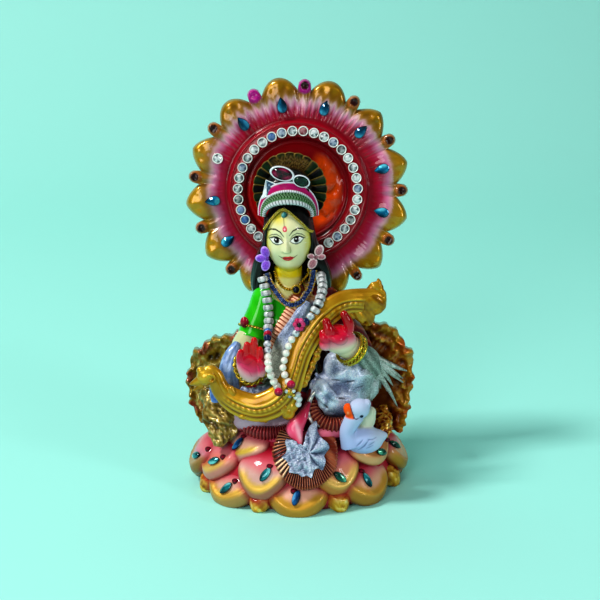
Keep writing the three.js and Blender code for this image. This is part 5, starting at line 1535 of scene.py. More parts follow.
def veena():
    line = [
        (-38.4, -29.6, 60.4, 2.8, 2.8), (-33.4, -30, 52.6, 4.6, 3), (-26.8, -31, 48.2, 5.8, 3.4),
        (-19.1, -32, 46.2, 6.4, 3.8), (-12.4, -32.4, 47.8, 6.8, 3.8), (-7.2, -32, 51.6, 6.4, 3.6),
        (-3.6, -31, 57, 5.8, 3.4), (-1, -30, 64, 5, 3.2), (1.6, -28, 71.8, 5.2, 3),
        (6, -26, 79.6, 5.6, 3), (12.1, -24, 86.9, 5.8, 3), (19.7, -21, 91.6, 5.4, 3),
        (27.9, -18, 91.8, 5.6, 3), (34.6, -16, 90, 6.4, 3.2), (38.4, -15, 88, 3.4, 2.6)
    ]
    sides, steps, dashes = 96, 322, 46

    def relief(a, t):
        lower = np.cos(a)
        front = smooth_step(0.05, 0.3, np.sin(a))
        fade = smooth_step(0.06, 0.14, t) * smooth_step(0.9, 0.82, t)
        dash = bell(lower, 0.14, 0.1) * (0.5 + 0.5 * np.tanh(4 * np.cos(2 * np.pi * dashes * t)))
        ridge = bell(lower, -0.22, 0.06) + bell(lower, 0.4, 0.05) + 1.3 * bell(lower, 0.86, 0.12)
        groove = bell(lower, -0.08, 0.05) + bell(lower, 0.29, 0.03) + 1.4 * bell(lower, 0.66, 0.05)
        high = (0.8 * ridge + 0.8 * dash - 0.8 * groove) * front * fade
        scallop = (
            0.35 * np.abs(np.sin(np.pi * 26 * t)) * smooth_step(0.8, 0.98, lower)
            * smooth_step(0.06, 0.1, t) * smooth_step(0.36, 0.32, t)
        )
        return high, scallop

    marks = {}

    def swell(a, t):
        high, scallop = relief(a, t)
        marks["high"] = high + scallop
        return 1 + 0.1 * high + 0.06 * scallop

    points, faces = limb(line, sides, steps, swell=swell)
    # The gilt is painted darker in the grooves and lighter on the ridges and dashes: painted shade and
    # painted highlight.
    high = 0.25 + 1.1 * np.append(marks["high"].ravel(), [0, 0]) + 0.2 * wrinkles(points, 9, 41)
    piece("veena_body", points, faces, old_gold, "gilt", ["veena"], gold_paint(high), 0.4)


veena()


def curl(centre, start, turns, outer, inner, wide, tip=0.5, turn_way=1):
    """A rolled leaf: a tapering bar wound in a flat spiral from outer to inner radius."""
    t = np.linspace(0, 1, 9)
    angle = np.radians(start) + turn_way * 2 * np.pi * turns * t
    radius = outer + (inner - outer) * t
    size = wide + (tip - wide) * t
    return [
        (centre[0] + r * math.cos(a), centre[1], centre[2] + r * math.sin(a), w, w * 0.8)
        for a, r, w in zip(angle, radius, size)
    ]


def veena_ends():
    shells = [
        egg((-40.8, -30.4, 60), (4.3, 3.6, 4.0), (0, 20, 0)),
        egg((-43, -30.4, 62.8), (2.0, 2.0, 2.2), (0, -30, 0)),
        limb(
            [(-43, -30.6, 58.6, 2.8, 2.4), (-46, -30.8, 57.4, 1.5, 1.3), (-48.4, -30.6, 56.4, 0.4, 0.5)],
            36, 30
        ),
        limb(
            [(-42.4, -30.8, 56.6, 1.8, 1.8), (-45, -31, 54.6, 1.0, 1.0), (-47, -31, 53.6, 0.3, 0.4)],
            30, 30
        ),
        limb(
            [
                (-41.6, -29.6, 63, 1.4, 1.6), (-38.4, -29.6, 63.6, 1.8, 2),
                (-35.6, -29.6, 60.8, 2.2, 2.4), (-34, -29.8, 56.4, 2.6, 2.8), (-31.6, -30.2, 52, 3.2, 3)
            ], 40, 60
        ),
        limb(curl((-38.4, -33.6, 60), 130, 0.75, 2.3, 1.2, 0.7, 0.5, -1), 24, 60),
        limb(
            [(-27.6, -31.4, 50.4, 1.8, 1.8), (-29, -32, 53.4, 1.6, 1.6), (-30, -31.8, 56, 1.2, 1.2)],
            30, 24
        )
    ]
    co, faces, out = cast_together(shells, 0.36, 2)
    # A bright spot on the top of the bird's head is a painted highlight, and a darker spot is painted below
    # its curl.
    high = (
        wrinkles(co, 6, 14) * 0.3 + 0.3 + 1.2 * (co[:, 2] > 58) * mound(co[:, 0], co[:, 2], -41, 62, 3, 3)
        - 0.8 * mound(co[:, 0], co[:, 2], -37, 56.5, 1.2, 2)
    )
    piece("veena_bird", co, faces, old_gold, "gilt", ["veena"], gold_paint(high), 0.4)
    heart = [
        egg((-6.2, -32.4, 46.2), (3.0, 2.8, 3.6), (0, -22, 0)),
        egg((-2.2, -32.4, 46.8), (2.6, 2.6, 3.2), (0, 20, 0)), egg((-4.4, -32.6, 43.6), (3.2, 2.6, 3.2)),
        egg((-24.5, -32.4, 42.2), (2.6, 2.2, 1.8), (0, 10, 0)), egg((-22.4, -33, 41.2), (1.1, 1.4, 1.0)),
        egg((-16.2, -32.8, 40.8), (2.3, 2.2, 1.5)), egg((-14.4, -33.2, 40.2), (1.2, 1.4, 1.1)),
        egg((-17.8, -33, 42), (1.3, 1.5, 1.2))
    ]
    co, faces, out = cast_together(heart, 0.32, 3)
    co[:, 1] += 0.5 * mound(co[:, 0], co[:, 2], -4.3, 48, 0.5, 2.4)
    piece(
        "veena_drops", co, faces, old_gold, "gilt", ["veena"],
        gold_paint(0.4 + 0.5 * wrinkles(co, 5, 3)), 0.4
    )
    scroll = [
        limb(
            [
                (29, -18, 91, 4.4, 2.8), (33.6, -17.2, 91, 4.6, 3), (36.6, -16.6, 89.2, 3.4, 2.8),
                (35, -17.6, 86.6, 1.8, 2), (33.4, -18.2, 88, 1.0, 1.2)
            ], 40, 70
        ),
        limb(
            [
                (31.6, -15.8, 93.6, 2.6, 1.8), (34.4, -15.4, 96.4, 3.0, 1.6), (36.2, -15.2, 99, 1.6, 1.1),
                (36, -15, 101.4, 0.3, 0.4)
            ], 36, 40
        ),
        limb(
            [
                (35.4, -15.8, 95.6, 1.8, 1.6), (38, -15.8, 95, 1.4, 1.4), (38.2, -16, 91.4, 1.8, 1.8),
                (37.4, -16.2, 88.4, 1.4, 1.6)
            ], 30, 40
        ),
        limb(curl((30.6, -18.6, 88.6), 80, 0.8, 3.4, 1.6, 0.9, 0.7, -1), 22, 60),
        limb(
            [
                (29, -17.6, 87.6, 3.0, 2), (31.6, -17.4, 84.6, 3.2, 2), (32, -17.2, 81.6, 2.2, 1.6),
                (30.6, -17.4, 79.8, 0.8, 0.8)
            ], 34, 40
        ),
        limb(
            [(25, -18.4, 88, 2.6, 1.8), (27.4, -18.6, 84.6, 2.2, 1.6), (29.6, -18.4, 81.8, 1.4, 1.2)],
            30, 30
        ),
        limb(
            [(19.6, -19.6, 88.6, 2.2, 1.6), (22.6, -19.4, 85.6, 2, 1.4), (25.4, -19, 83.8, 0.8, 0.9)],
            30, 30
        ),
        egg((27.4, -16.4, 86.6), (4.2, 2.4, 3.4), (0, -25, 0)), egg((35, -15.6, 96.6), (3.6, 1.6, 3.4))
    ]
    co, faces, out = cast_together(scroll, 0.32, 2)
    veins = np.sin(1.9 * (co[:, 0] + co[:, 2]) + 1.5 * np.sin(0.6 * co[:, 0]))
    co = co + out * (0.04 * veins)[:, None]
    piece(
        "veena_scroll", co, faces, old_gold, "gilt", ["veena"],
        gold_paint(0.1 + 0.1 * veins + 0.4 * wrinkles(co, 6, 8)), 0.4
    )
    frills = []
    for k in range(8):
        share = k / 7
        x, z = 1.6 + 7.2 * share, 56.4 + 16.4 * share
        y = -30.4 + 3.4 * share
        frills.append(
            egg(
                (x + 1.2 + 0.5 * math.sin(3 * k), y, z), (2.0, 1.3, 1.5), (0, -35 - 8 * (k % 2), 0),
                sides=26, rings=16
            )
        )
    co, faces, out = cast_together(frills, 0.3, 1)
    piece(
        "veena_frill", co, faces, old_gold, "gilt", ["veena"],
        gold_paint(0.2 + 0.5 * wrinkles(co, 2.5, 9)), 0.4
    )


veena_ends()

# Swan
# A small swan cast apart, painted chalky bluish white with an orange beak and a dot of an eye, and
# glued by the knee.
chalk_paint = lacquer("chalk_paint", rough=0.55, coat=0.15, bump=0.03, mottle=0.06)
SWAN_FOOT = np.array([29.12, -31.85, 22.36])


def swan():
    shells = [
        egg((0.6, 0, 8), (9, 6.2, 6.5)), egg((-1.7, -2.4, 24), (4.7, 4.2, 4.7)),
        egg((1.5, -1.8, 26.2), (2.1, 2.8, 2)),
        limb(
            [
                (-4.6, -1.6, 6, 5.4, 5), (-6.8, -2, 12.5, 3.6, 3.8), (-5.2, -2.2, 17, 3.9, 3.8),
                (-3, -2.4, 21, 4.2, 3.8)
            ], 50, 80
        ),
        limb(
            [(5, 0.4, 8.6, 5.2, 4.6), (8.6, 0.2, 9.6, 3.2, 3), (11.4, 0, 10.4, 0.5, 0.7)], 50, 50,
            facing=(0, 0, 1)
        ),
        egg((1.6, 1.4, 17.4), (4.4, 2.4, 6.4), (0, 8, 0)), egg((3.7, 1.2, 20.6), (2.5, 1.9, 2.9)),
        egg((-6.4, -3.9, 23.9), (2.3, 2, 3.4), (0, -21, 0))
    ]
    co, faces, out = cast_together(shells, 0.42, 3)
    x, y, z = co.T
    feathers = np.zeros(len(co))
    for line, wide in (
        ([(-2.6, 7.5), (-1.4, 8.7), (0, 10.4)], 0.28), ([(-2.2, 5), (0.6, 7.4), (2.8, 10.4)], 0.36),
        ([(1.6, 6.2), (3, 6.8), (4.6, 7.6)], 0.2), ([(2.7, 7.8), (3.8, 8.4), (5.2, 9.2)], 0.24),
        ([(2.2, 10.4), (4, 10.2), (6, 10.8)], 0.2)
    ):
        feathers = feathers + stroke(x, z, line, [0.1, wide, 0.1], 0.3)
    feathers = np.clip(feathers, 0, 1) * (y < 0.5)
    groove = stroke(x, z, [(1.5, 20.4), (-1.3, 16.8), (-3.5, 13.4)], [0.1, 0.3, 0.2], 0.4) * (y < 0)
    co = co - out * (0.3 * feathers + 0.4 * groove)[:, None]
    colour = mix("a2b2e0", "c6cfdc", smooth_step(2, 26, z) * 0.5 + smooth_step(1, 8, x) * 0.5)
    wing = (
        smooth_step(-0.6, 0.6, x + 4.6 - 0.72 * (z - 12)) * smooth_step(13, 15, z)
        * smooth_step(24.6, 23.4, z)
    )
    colour = mix(colour, "cbccb6", wing * smooth_step(-3, -1, y))
    colour = mix(colour, "5f6c98", feathers * 0.8 + 0.5 * groove * (1 - feathers))
    beak = smooth_step(-4.9, -5.3, x + 0.3 * (z - 24)) * smooth_step(20.1, 20.6, z) * (y < 1)
    colour = mix(colour, "f0560c", beak)
    # A pale spot on the beak is a painted highlight.
    colour = mix(colour, "f9a06a", beak * mound(x, z, -6.9, 23.2, 0.5, 0.7) * (y < -4))
    edge = stroke(x, z, [(-6, 27), (-5.1, 24), (-4.1, 21)], [0.12, 0.22, 0.26], 0.16) * (y < -2)
    mouth = stroke(x, z, [(-4.2, 20.9), (-3.2, 20.4), (-1.9, 20.7)], [0.24, 0.24, 0.12], 0.14) * (y < -2)
    eye = smooth_step(0.95, 0.7, np.hypot(x + 0.8, (z - 21.6) * 0.9)) * (y < -3)
    colour = mix(colour, "2a1c30", np.clip(edge + mouth, 0, 1))
    colour = mix(colour, "0c1430", eye)
    piece("swan_body", co + SWAN_FOOT, faces, chalk_paint, "swan_white", ["swan"], colour, 0.0 * x)


swan()

# Crown: fan, tiara and crest gems
# Trimmings bought by the yard: a pleated black and green braid with gold edges stands behind the bun,
# and a beaded braid of magenta, white and green makes the tiara. Two rimmed stones and a grey triangle
# are glued above it.
braid = lacquer("braid", rough=0.5, coat=0.1, bump=0.2, grain=1600, mottle=0.2)


def crown_fan():
    segments, across, up = 17, 17 * 12, 28
    u, v = np.meshgrid(np.linspace(0, 1, across), np.linspace(0, 1, up), indexing="ij")
    angle = np.radians(-36 + 252 * u)
    cell = (u * segments) % 1
    pillow = np.sin(np.pi * cell) ** 0.5
    reach = 5 + 11.4 * v + 0.7 * pillow * smooth_step(0.8, 1, v)
    net = smooth_step(0.33, 0.4, u) * smooth_step(0.68, 0.61, u)
    depth = (
        -1.6 * v - 0.9 * pillow * smooth_step(0.45, 0.6, v) * (1 - 0.6 * net)
        - 0.3 * np.sin(40 * v) * np.sin(60 * np.pi * u) * net
    )
    place = np.stack([-3.6 - np.cos(angle) * reach, 9 + depth, 137.4 + np.sin(angle) * reach], -1)
    points, faces = plate(place + np.array([0, -0.75, 0]), place + np.array([0, 0.75, 0]))
    uu, vv, cells, nets = (np.concatenate([k.ravel()] * 2) for k in (u, v, cell, net))
    odd = (np.floor(uu * segments) % 2)
    colour = mix("060a06", "1a3214", (odd * 0.8 + 0.2 * np.sin(23 * uu + 9 * vv)) * np.sin(np.pi * cells))
    gold = smooth_step(0.09, 0.04, np.minimum(cells, 1 - cells)) + smooth_step(0.972, 0.988, vv) * 0.7
    colour = mix(colour, "8f7436", np.clip(gold, 0, 1) * 0.9)
    mesh_threads = 0.5 + 0.5 * np.sin(170 * uu + 8 * np.sin(11 * vv)) * np.sin(60 * vv + 5 * np.sin(40 * uu))
    colour = mix(colour, mix("2e1c08", "8a6a34", mesh_threads), nets * smooth_step(0.98, 0.8, vv))
    inner = smooth_step(0.5, 0.4, vv)
    colour = mix(colour, mix("241405", "6f4d1c", mesh_threads), inner)
    piece(
        "crown_fan_braid", points, faces, braid, "fan_braid", ["crown_fan"], colour,
        0.35 * np.clip(gold, 0, 1)
    )


crown_fan()


def tiara():
    across, up = 220, 40
    u, v = np.meshgrid(np.linspace(0, 1, across), np.linspace(0, 1, up), indexing="ij")
    turn = np.radians(95 * (2 * u - 1))
    x = np.sin(turn) * (10.6 + 2.3 * v)
    z = 128 + np.cos(turn) * (6.5 + 9.3 * v)
    y = -13 + 0.055 * x * x + 4 * v
    feather = np.sin(190 * u + 14 * np.sin(20 * v)) * bell(v, 0.38, 0.15)
    lace = np.abs(np.sin(np.pi * 25 * u + 5 * v))
    spiky = np.abs(np.sin(np.pi * 42 * u + 2 * v))
    lift = (
        0.45 * bell(v, 0.97, 0.03) + 0.2 * bell(v, 0.82, 0.09) + 0.4 * bell(v, 0.56, 0.06) * spiky
        + 0.25 * feather + 0.35 * bell(v, 0.1, 0.08) * lace
    )
    out = np.stack([0.11 * x, np.full_like(x, -1.0), np.full_like(x, 0.45)], -1)
    out /= np.linalg.norm(out, axis=-1)[..., None]
    place = np.stack([x - 4.3, y, z], -1)
    points, faces = plate(place + out * (lift + 0.8)[..., None], place - out * 0.8)
    uu, vv, ff, ll, ss = (np.concatenate([k.ravel()] * 2) for k in (u, v, feather, lace, spiky))
    colour = blended(
        [
            (0.0, "c8ccd0"), (0.15, "c3c8cc"), (0.22, "4c7a4a"), (0.48, "356c2e"), (0.52, "9aa8a0"),
            (0.55, "e2e0ea"), (0.61, "ddd8e4"), (0.64, "a80a58"), (0.91, "c0126a"), (0.94, "e8e0ec"),
            (1.0, "f0ecf2")
        ], vv
    )
    colour = mix(
        colour, "12280f",
        smooth_step(0.1, -0.6, ff) * smooth_step(0.2, 0.27, vv) * smooth_step(0.56, 0.5, vv) * 0.85
    )
    colour = mix(
        colour, "a8bca4",
        smooth_step(0.3, 0.9, ff) * smooth_step(0.2, 0.27, vv) * smooth_step(0.56, 0.5, vv) * 0.5
    )
    colour = mix(
        colour, "3c5a3c",
        smooth_step(0.5, 0.15, ss) * smooth_step(0.48, 0.52, vv) * smooth_step(0.64, 0.6, vv) * 0.85
    )
    colour = mix(colour, "14180f", smooth_step(0.55, 0.2, ll) * smooth_step(0.22, 0.16, vv) * 0.9)
    piece("tiara_braid", points, faces, braid, "beaded_braid", ["tiara"], colour, 0.0 * uu)


tiara()

stone = lacquer("stone", rough=0.06, coat=1.0, bump=0.0, mottle=0.03)


def rimmed_stone(name, node, slot, centre, half, lean, body, dark, seed):
    """A faceted oval stone in a white rim, lying against the crest."""
    rings, sides = 40, 72
    r, a = np.meshgrid(
        np.linspace(0.02, 1, rings), np.linspace(0, 2 * np.pi, sides, endpoint=False), indexing="ij"
    )
    rise = np.where(
        r < 0.8, 0.55 + 0.75 * np.minimum(1, (0.8 - r) / 0.22),
        0.5 + 0.55 * np.sqrt(np.clip(1 - ((r - 0.9) / 0.1) ** 2, 0, 1))
    )
    flat = np.stack([r * np.cos(a) * half[0], -rise * half[1], r * np.sin(a) * half[2]], -1)
    base = np.stack([1.0 * np.cos(a[:1]) * half[0], 0.6 * half[1] + 0 * a[:1], np.sin(a[:1]) * half[2]], -1)
    points, faces = skin_of(np.concatenate([flat, base]))
    # The stone is painted lighter and darker by turns round its facets, and darker on its table: painted
    # highlights and painted shade of the cut.
    colours = mix(
        body, dark, 0.5 + 0.5 * np.sin(3 * np.append(np.concatenate([a, a[:1]]).ravel(), [0, 0]) + seed)
    )
    rr = np.append(np.concatenate([r, r[:1] * 0 + 1]).ravel(), [0, 1])
    table = smooth_step(0.5, 0.42, rr)
    colours = mix(colours, dark, table * 0.75)
    colours = mix(colours, "dfe2ea", smooth_step(0.81, 0.86, rr))
    piece(name, turned(points, (0, lean, 0)) + np.array(centre), faces, stone, slot, [node], colours, 0.0)


rimmed_stone(
    "crest_ruby", "crown_gem_red", "red_gem", (-6.9, -10, 147.8), (5.6, 1.3, 3.2), 15,
    "8a0c40", "1c020a", 0.4
)
rimmed_stone(
    "crest_emerald", "crown_gem_green", "green_gem", (1.6, -10.1, 144.4), (4.0, 1.2, 2.7), 18, "123c28",
    "020c06", 2.0
)


def crest_triangle():
    """A blue-grey triangle of card with a white edge, under the ruby."""
    corners = np.array([(-14.2, 144.4), (-6.0, 141.4), (-16.2, 135.4)])
    centre = corners.mean(0)
    rings, sides = 26, 90
    edge = []
    for k in range(sides):
        a, b = corners[int(k / 30)], corners[(int(k / 30) + 1) % 3]
        edge.append(a + (b - a) * (k % 30) / 30)
    edge = np.array(edge)
    r = np.linspace(0.03, 1, rings)[:, None, None]
    flat = centre + (edge - centre)[None] * r
    depth = -8.4 + 0.04 * (flat[..., 0] + 4.4) ** 2 * 0.5 - 0.5 * smooth_step(0.88, 0.93, r[..., 0])
    place = np.stack([flat[..., 0], depth, flat[..., 1]], -1)
    rim = np.stack([edge[:, 0], -6.6 + 0 * edge[:, 0], edge[:, 1]], -1)[None]
    points, faces = skin_of(np.concatenate([place, rim]))
    rr = np.append(np.append(np.repeat(r.ravel(), sides), np.ones(sides)), [0, 1])
    dots = np.sin(2.6 * points[:, 0]) * np.sin(2.6 * points[:, 2])
    colour = mix("3c5068", "7e96b0", smooth_step(0, 0.8, dots))
    colour = mix(colour, "eef2f6", smooth_step(0.88, 0.92, rr))
    piece("crest_triangle", points, faces, braid, "beaded_braid", ["tiara"], colour, 0.0)
    knob = egg((-4.4, -5.6, 139), (9.6, 2.8, 6.4), sides=70, rings=46)
    piece(
        "crest_ground", *knob, hair_paint, "beaded_braid", ["tiara"],
        mix("0b0c0c", "2a1c14", 0.5 + 0.5 * wrinkles(knob[0], 3, 2)), 0.0
    )


crest_triangle()

# Stones on the pedestal and the halo
# Cut glass with foil backs, glued flat: teal drops and marquises in dark outlines, clear rhinestones in
# silver cups, and little dark garnets at the petals' roots.
def cut_stone(length, width, rise, is_drop, sides=28):
    """A faceted stone lying in X and Y: rim, slope and table, as a drop or with two pointed ends."""
    a = np.linspace(0, 2 * np.pi, sides, endpoint=False)
    along = np.cos(a)
    if is_drop:
        wide = np.sin(a) * np.sqrt(np.clip((1 - along) / 2, 0, 1)) ** 0.8 / 0.8
    else:
        wide = np.sign(np.sin(a)) * np.abs(np.sin(a)) ** 1.2
    outline = np.stack([along * length / 2, wide * width / 2], -1)
    rings = [(0.94, 0), (1.0, 0.15), (0.98, 0.4), (0.86, 0.5), (0.8, 0.62), (0.46, 1.0), (0.02, 1.03)]
    shift = -0.08 * length if is_drop else 0
    grid = [
        np.stack([outline[:, 0] * k + shift * (1 - k), outline[:, 1] * k, np.full(sides, h * rise)], -1)
        for k, h in rings
    ]
    reach = np.append(np.repeat([k for k, _ in rings], sides), [1, 0])
    turn = np.append(np.tile(a, len(rings)), [0, 0])
    return skin_of(np.array(grid)), reach, turn


def set_on(points, spot, out, along):
    """Turns points so that their Z is out and their X nearly along, and moves them to the spot."""
    up = np.asarray(out, float) / np.linalg.norm(out)
    side = np.cross(up, along)
    side /= np.linalg.norm(side)
    return points @ np.array([np.cross(side, up), side, up]) + np.asarray(spot, float)


def stone_paint(reach, turn, bright, body, dark, side=0.0):
    """Light falls through a stone from one side: a bright table edge there, and dark opposite."""
    tone = np.cos(turn - side)
    colour = blended([(-1, dark), (-0.2, body), (0.5, body), (0.9, bright)], tone)
    colour = mix(colour, mix(body, dark, 0.45), smooth_step(0.5, 0.4, reach))
    return mix(colour, "061018", smooth_step(0.84, 0.9, reach))


class Stack:
    """Collects small shells with their paint, to be made into one piece."""

    def __init__(self):
        self.shells, self.paints = [], []

    def add(self, shell, paint):
        self.shells.append(shell)
        paint = rgb(paint) if isinstance(paint, str) else paint
        self.paints.append(np.broadcast_to(paint, (len(shell[0]), 3)))

    def piece(self, name, finish, slot, stands_for, gilt=0.0, flat=False):
        points, faces, _ = several(self.shells)
        return piece(name, points, faces, finish, slot, stands_for, np.vstack(self.paints), gilt, flat)


def ground_under(things):
    """Trees of the pieces that something is laid on."""
    return [
        BVHTree.FromPolygons(
            [v.co * 1000 for v in t.data.vertices], [tuple(p.vertices) for p in t.data.polygons]
        )
        for t in things
    ]


def pieces_named(*names):
    return [bpy.data.objects[name] for name in names]


FAR_IN_FRONT = -150.0


def front_at(trees, x, z, wide=0.0):
    """How far forward the front of some pieces is at a place, and at places this wide round it."""
    steps = (-wide, 0, wide) if wide else (0,)
    hits = [
        tree.ray_cast(Vector((x + dx, FAR_IN_FRONT, z + dz)), Vector((0, 1, 0)))[0]
        for tree in trees
        for dx in steps
        for dz in steps
    ]
    return min(hit[1] for hit in hits if hit is not None)


def petal_stones():
    ground = ground_under([bpy.data.objects["lotus_pedestal"]])
    spots = [tier for tier in PETALS if "gem" in tier]
    looks = {
        0: ("7fd8dc", "17808a", "06282e"), 1: ("5fb4ec", "155a9c", "061c40"),
        2: ("6cc8a4", "12604c", "05241c")
    }
    kinds = [0, 1, 0, 0, 0, 0, 2, 2, 1, 2]
    seen_up, seen_along = np.array([0, 0.29, 0.957]), np.array([0, 0.957, -0.29])
    for index, tier in enumerate(spots):
        middle, along, across, face = petal_frame(tier)[:4]
        x, y, lie = tier["gem"]
        half = np.array(tier["half"], float)
        lift = math.sqrt(1 - x * x - y * y)
        start = (
            middle + along * x * half[0] + across * y * half[1]
            + face * (lift * half[2] - PETAL_DROOP * x * x)
        )
        slope = along * 1.0 - face * (x * half[2] / (lift * half[0]) + 2 * PETAL_DROOP * x / half[0])
        tilt = across * 1.0 - face * (y * half[2] / (lift * half[1]))
        out = np.cross(slope, tilt)
        out /= np.linalg.norm(out)
        seen = np.array([math.cos(math.radians(lie)), 0, 0]) + seen_up * math.sin(math.radians(lie))
        way = np.cross(np.cross(seen, seen_along), out)
        hit = ground[0].ray_cast(Vector(start + out * 20), Vector(-out))[0]
        hit = start if hit is None else np.array(hit)
        (points, faces), reach, turn = cut_stone(7.4, 3.6, 1.5, False)
        placed = set_on(points, hit + out * 0.3, out, way)
        piece(f"petal_stone_{index:02d}", placed, faces, stone, "teal_gem", [f"lotus_gem_{index:02d}"],
              stone_paint(reach, turn, *looks[kinds[index]], 0.6 + index), 0.2, flat=True)


petal_stones()


def root_garnets():
    """Dark red drops where petals meet, each laid on the pedestal."""
    stack = Stack()
    ground = ground_under([bpy.data.objects["lotus_pedestal"]])
    eye = Vector(EYE)
    for x, z in ((-39.3, 31.6), (-32.8, 27.8), (-27.7, 16.1), (-12.3, 23.2),
                 (-1.7, 11.2), (28.3, 20.8), (39.2, 35.9), (-23.6, 37.4)):
        hit = ground[0].ray_cast(eye, (Vector((x, -45, z)) - eye).normalized())[0]
        if hit is None:
            continue
        (points, faces), reach, _ = cut_stone(3.2, 2.6, 1.0, True, 16)
        stack.add(
            (set_on(points, np.array(hit), (0, -0.8, 0.6), (0.9, 0, 0.3)), faces),
            mix("8c1030", "38060f", reach)
        )
    stack.piece("root_garnets", stone, "red_gem", ["figure"], 0.1, flat=True)


root_garnets()


def halo_stones():
    for index in (0, 1, 2, 3, 4, 8, 9, 10, 12):
        angle = halo_angle(index)
        out = halo_point(0, 0, 1) - halo_point(0, 0, 0)
        outward = halo_point(angle, 1, 0) - halo_point(angle, 0, 0)
        (points, faces), reach, turn = cut_stone(7.4, 4.7, 1.6, True)
        placed = set_on(
            points, halo_point(angle, 0.76 * 53, 6.2), out, -outward if 3 <= index <= 9 else outward
        )
        look = ("5fd0ea", "0f7fae", "073450") if index in (9, 10, 3, 4) else ("3f9cc4", "0f5a80", "04202e")
        piece(f"halo_stone_{index:02d}", placed, faces, stone, "teal_gem", [f"halo_drop_{index:02d}"],
              stone_paint(reach, turn, *look, 2.2 + 0.7 * index), 0.25, flat=True)


halo_stones()


def brilliant(radius, seed):
    """A silver cup round a faceted glass, whose facets are lit and dark at random."""
    a = np.linspace(0, 2 * np.pi, 24, endpoint=False)
    rings = [
        (0.9, -0.5), (1.0, 0.2), (1.0, 0.9), (0.92, 1.15), (0.8, 1.05), (0.74, 0.85), (0.7, 0.9),
        (0.36, 1.4), (0.02, 1.45)
    ]
    grid = np.array(
        [np.stack([r * radius * np.cos(a), r * radius * np.sin(a), np.full(24, h)], -1) for r, h in rings]
    )
    reach = np.append(np.repeat([r for r, _ in rings], 24), [1, 0])
    turn = np.append(np.tile(a, len(rings)), [0, 0])
    chance = np.random.default_rng(seed)
    facet = (np.floor(8 * turn / (2 * np.pi) + 0.3 * seed) % 8).astype(int)
    tone = chance.uniform(0, 1, 9)[facet] * (reach > 0.1) + 0.5 * (reach <= 0.1)
    colour = blended([(0, "1c222a"), (0.3, "6c7680"), (0.55, "dfe2e4"), (1, "ffffff")], tone)
    colour = mix(colour, mix(colour, "dfe4e8", 0.5), smooth_step(0.45, 0.3, reach))
    if seed % 5 == 1:
        colour = mix(colour, "3c68a0", 0.5)
    if seed % 7 == 3:
        colour = mix(colour, "2e2826", 0.5)
    colour = mix(colour, "23262a", smooth_step(0.06, 0.02, np.abs(reach - 0.74)) * 0.6)
    colour = mix(colour, "f2f2ee", smooth_step(0.76, 0.82, reach))
    return skin_of(grid), reach, turn, colour


def rhinestones():
    stack = Stack()
    out = halo_point(0, 0, 1) - halo_point(0, 0, 0)
    radius, pitch = 27.9, 4.86
    count = int(2 * math.radians(149) * radius / pitch)
    for k in range(count + 1):
        angle = math.radians(-149) + 2 * math.radians(149) * k / count
        shell, reach, _, colour = brilliant(2.36, 3 * k + 2)
        if k == count // 2 + 1:
            colour = mix(colour, "98182c", 0.75 * (reach < 0.72))
        if k in (3, 4, count // 2 - 2):
            colour = mix(colour, "2f6cb4", 0.7 * (reach < 0.72))
        stack.add((set_on(shell[0], halo_point(angle, radius, 8.6), out, (1, 0, 0)), shell[1]), colour)
    stack.piece("rhinestone_row", stone, "rhinestone", ["halo_rhinestones"], 0.1, flat=True)
    shell, _, _, colour = brilliant(2.5, 4)
    placed = set_on(shell[0], halo_point(halo_angle(11), 0.76 * 53, 6.0), out, (1, 0, 0))
    piece(
        "mended_stone", placed, shell[1], stone, "rhinestone", ["halo_mended_rhinestone"], colour, 0.1,
        flat=True
    )


rhinestones()


# Necklaces, tikka, bangles and earrings
# Fine jewellery for dolls: twisted gilt wire, navy seed beads edged with gold, and glitter-dusted
# flower earrings.
gold_wire = lacquer("gold_wire", rough=0.24, coat=0.6, bump=0.05, mottle=0.12)
BODY_GROUND = pieces_named(
    "trunk", "neck", "chest", "head", "hair", "sash", "silver_drape", "right_sleeve", "left_upper_arm"
)


def laid(points, clear, trees, samples=80, bridged=14):
    """A line through [x, z] points that lies on the front of what is behind it."""
    flat = through([(x, 0, z) for x, z in points], samples)
    depth = []
    for x, _, z in flat:
        near = [
            t.ray_cast(Vector((x + side * clear * 0.8, FAR_IN_FRONT, z)), Vector((0, 1, 0)))[0]
            for t in trees for side in (-1, 0, 1)
        ]
        depth.append(min([h[1] for h in near if h is not None] or [0]) - clear)
    depth = np.array(depth)
    taut = depth.copy()
    for i in range(samples):
        for a in range(max(i - bridged, 0), i):
            for b in range(i + 1, min(i + bridged, samples)):
                taut[i] = min(taut[i], depth[a] + (depth[b] - depth[a]) * (i - a) / (b - a))
    flat[:, 1] = taut
    return flat


def evenly(line, gap):
    """Spots along a line at even steps, with the way along at each."""
    step = np.linalg.norm(np.diff(line, axis=0), axis=1)
    run = np.concatenate([[0], np.cumsum(step)])
    count = max(int(round(run[-1] / gap)), 2)
    at = (np.arange(count) + 0.5) * run[-1] / count
    spots = np.stack([np.interp(at, run, line[:, k]) for k in range(3)], -1)
    ways = np.gradient(spots, axis=0)
    return spots, ways / np.linalg.norm(ways, axis=1)[:, None], at / run[-1]


def cord(line, radius, twist=0.0, strands=1, sides=10):
    """A round wire along a line, or several wires twisted together."""
    _, across, out = frames_along(line)
    step = np.concatenate([[0], np.cumsum(np.linalg.norm(np.diff(line, axis=0), axis=1))])
    shells = []
    for k in range(strands):
        phase = 2 * np.pi * k / strands + twist * step
        off = radius if strands > 1 else 0.0
        middle = line + off * (np.cos(phase)[:, None] * across + np.sin(phase)[:, None] * out)
        a = np.linspace(0, 2 * np.pi, sides, endpoint=False)
        round_it = np.cos(a)[None, :, None] * across[:, None] + np.sin(a)[None, :, None] * out[:, None]
        shells.append(skin_of(middle[:, None] + radius * round_it))
    points, faces, _ = several(shells)
    return points, faces


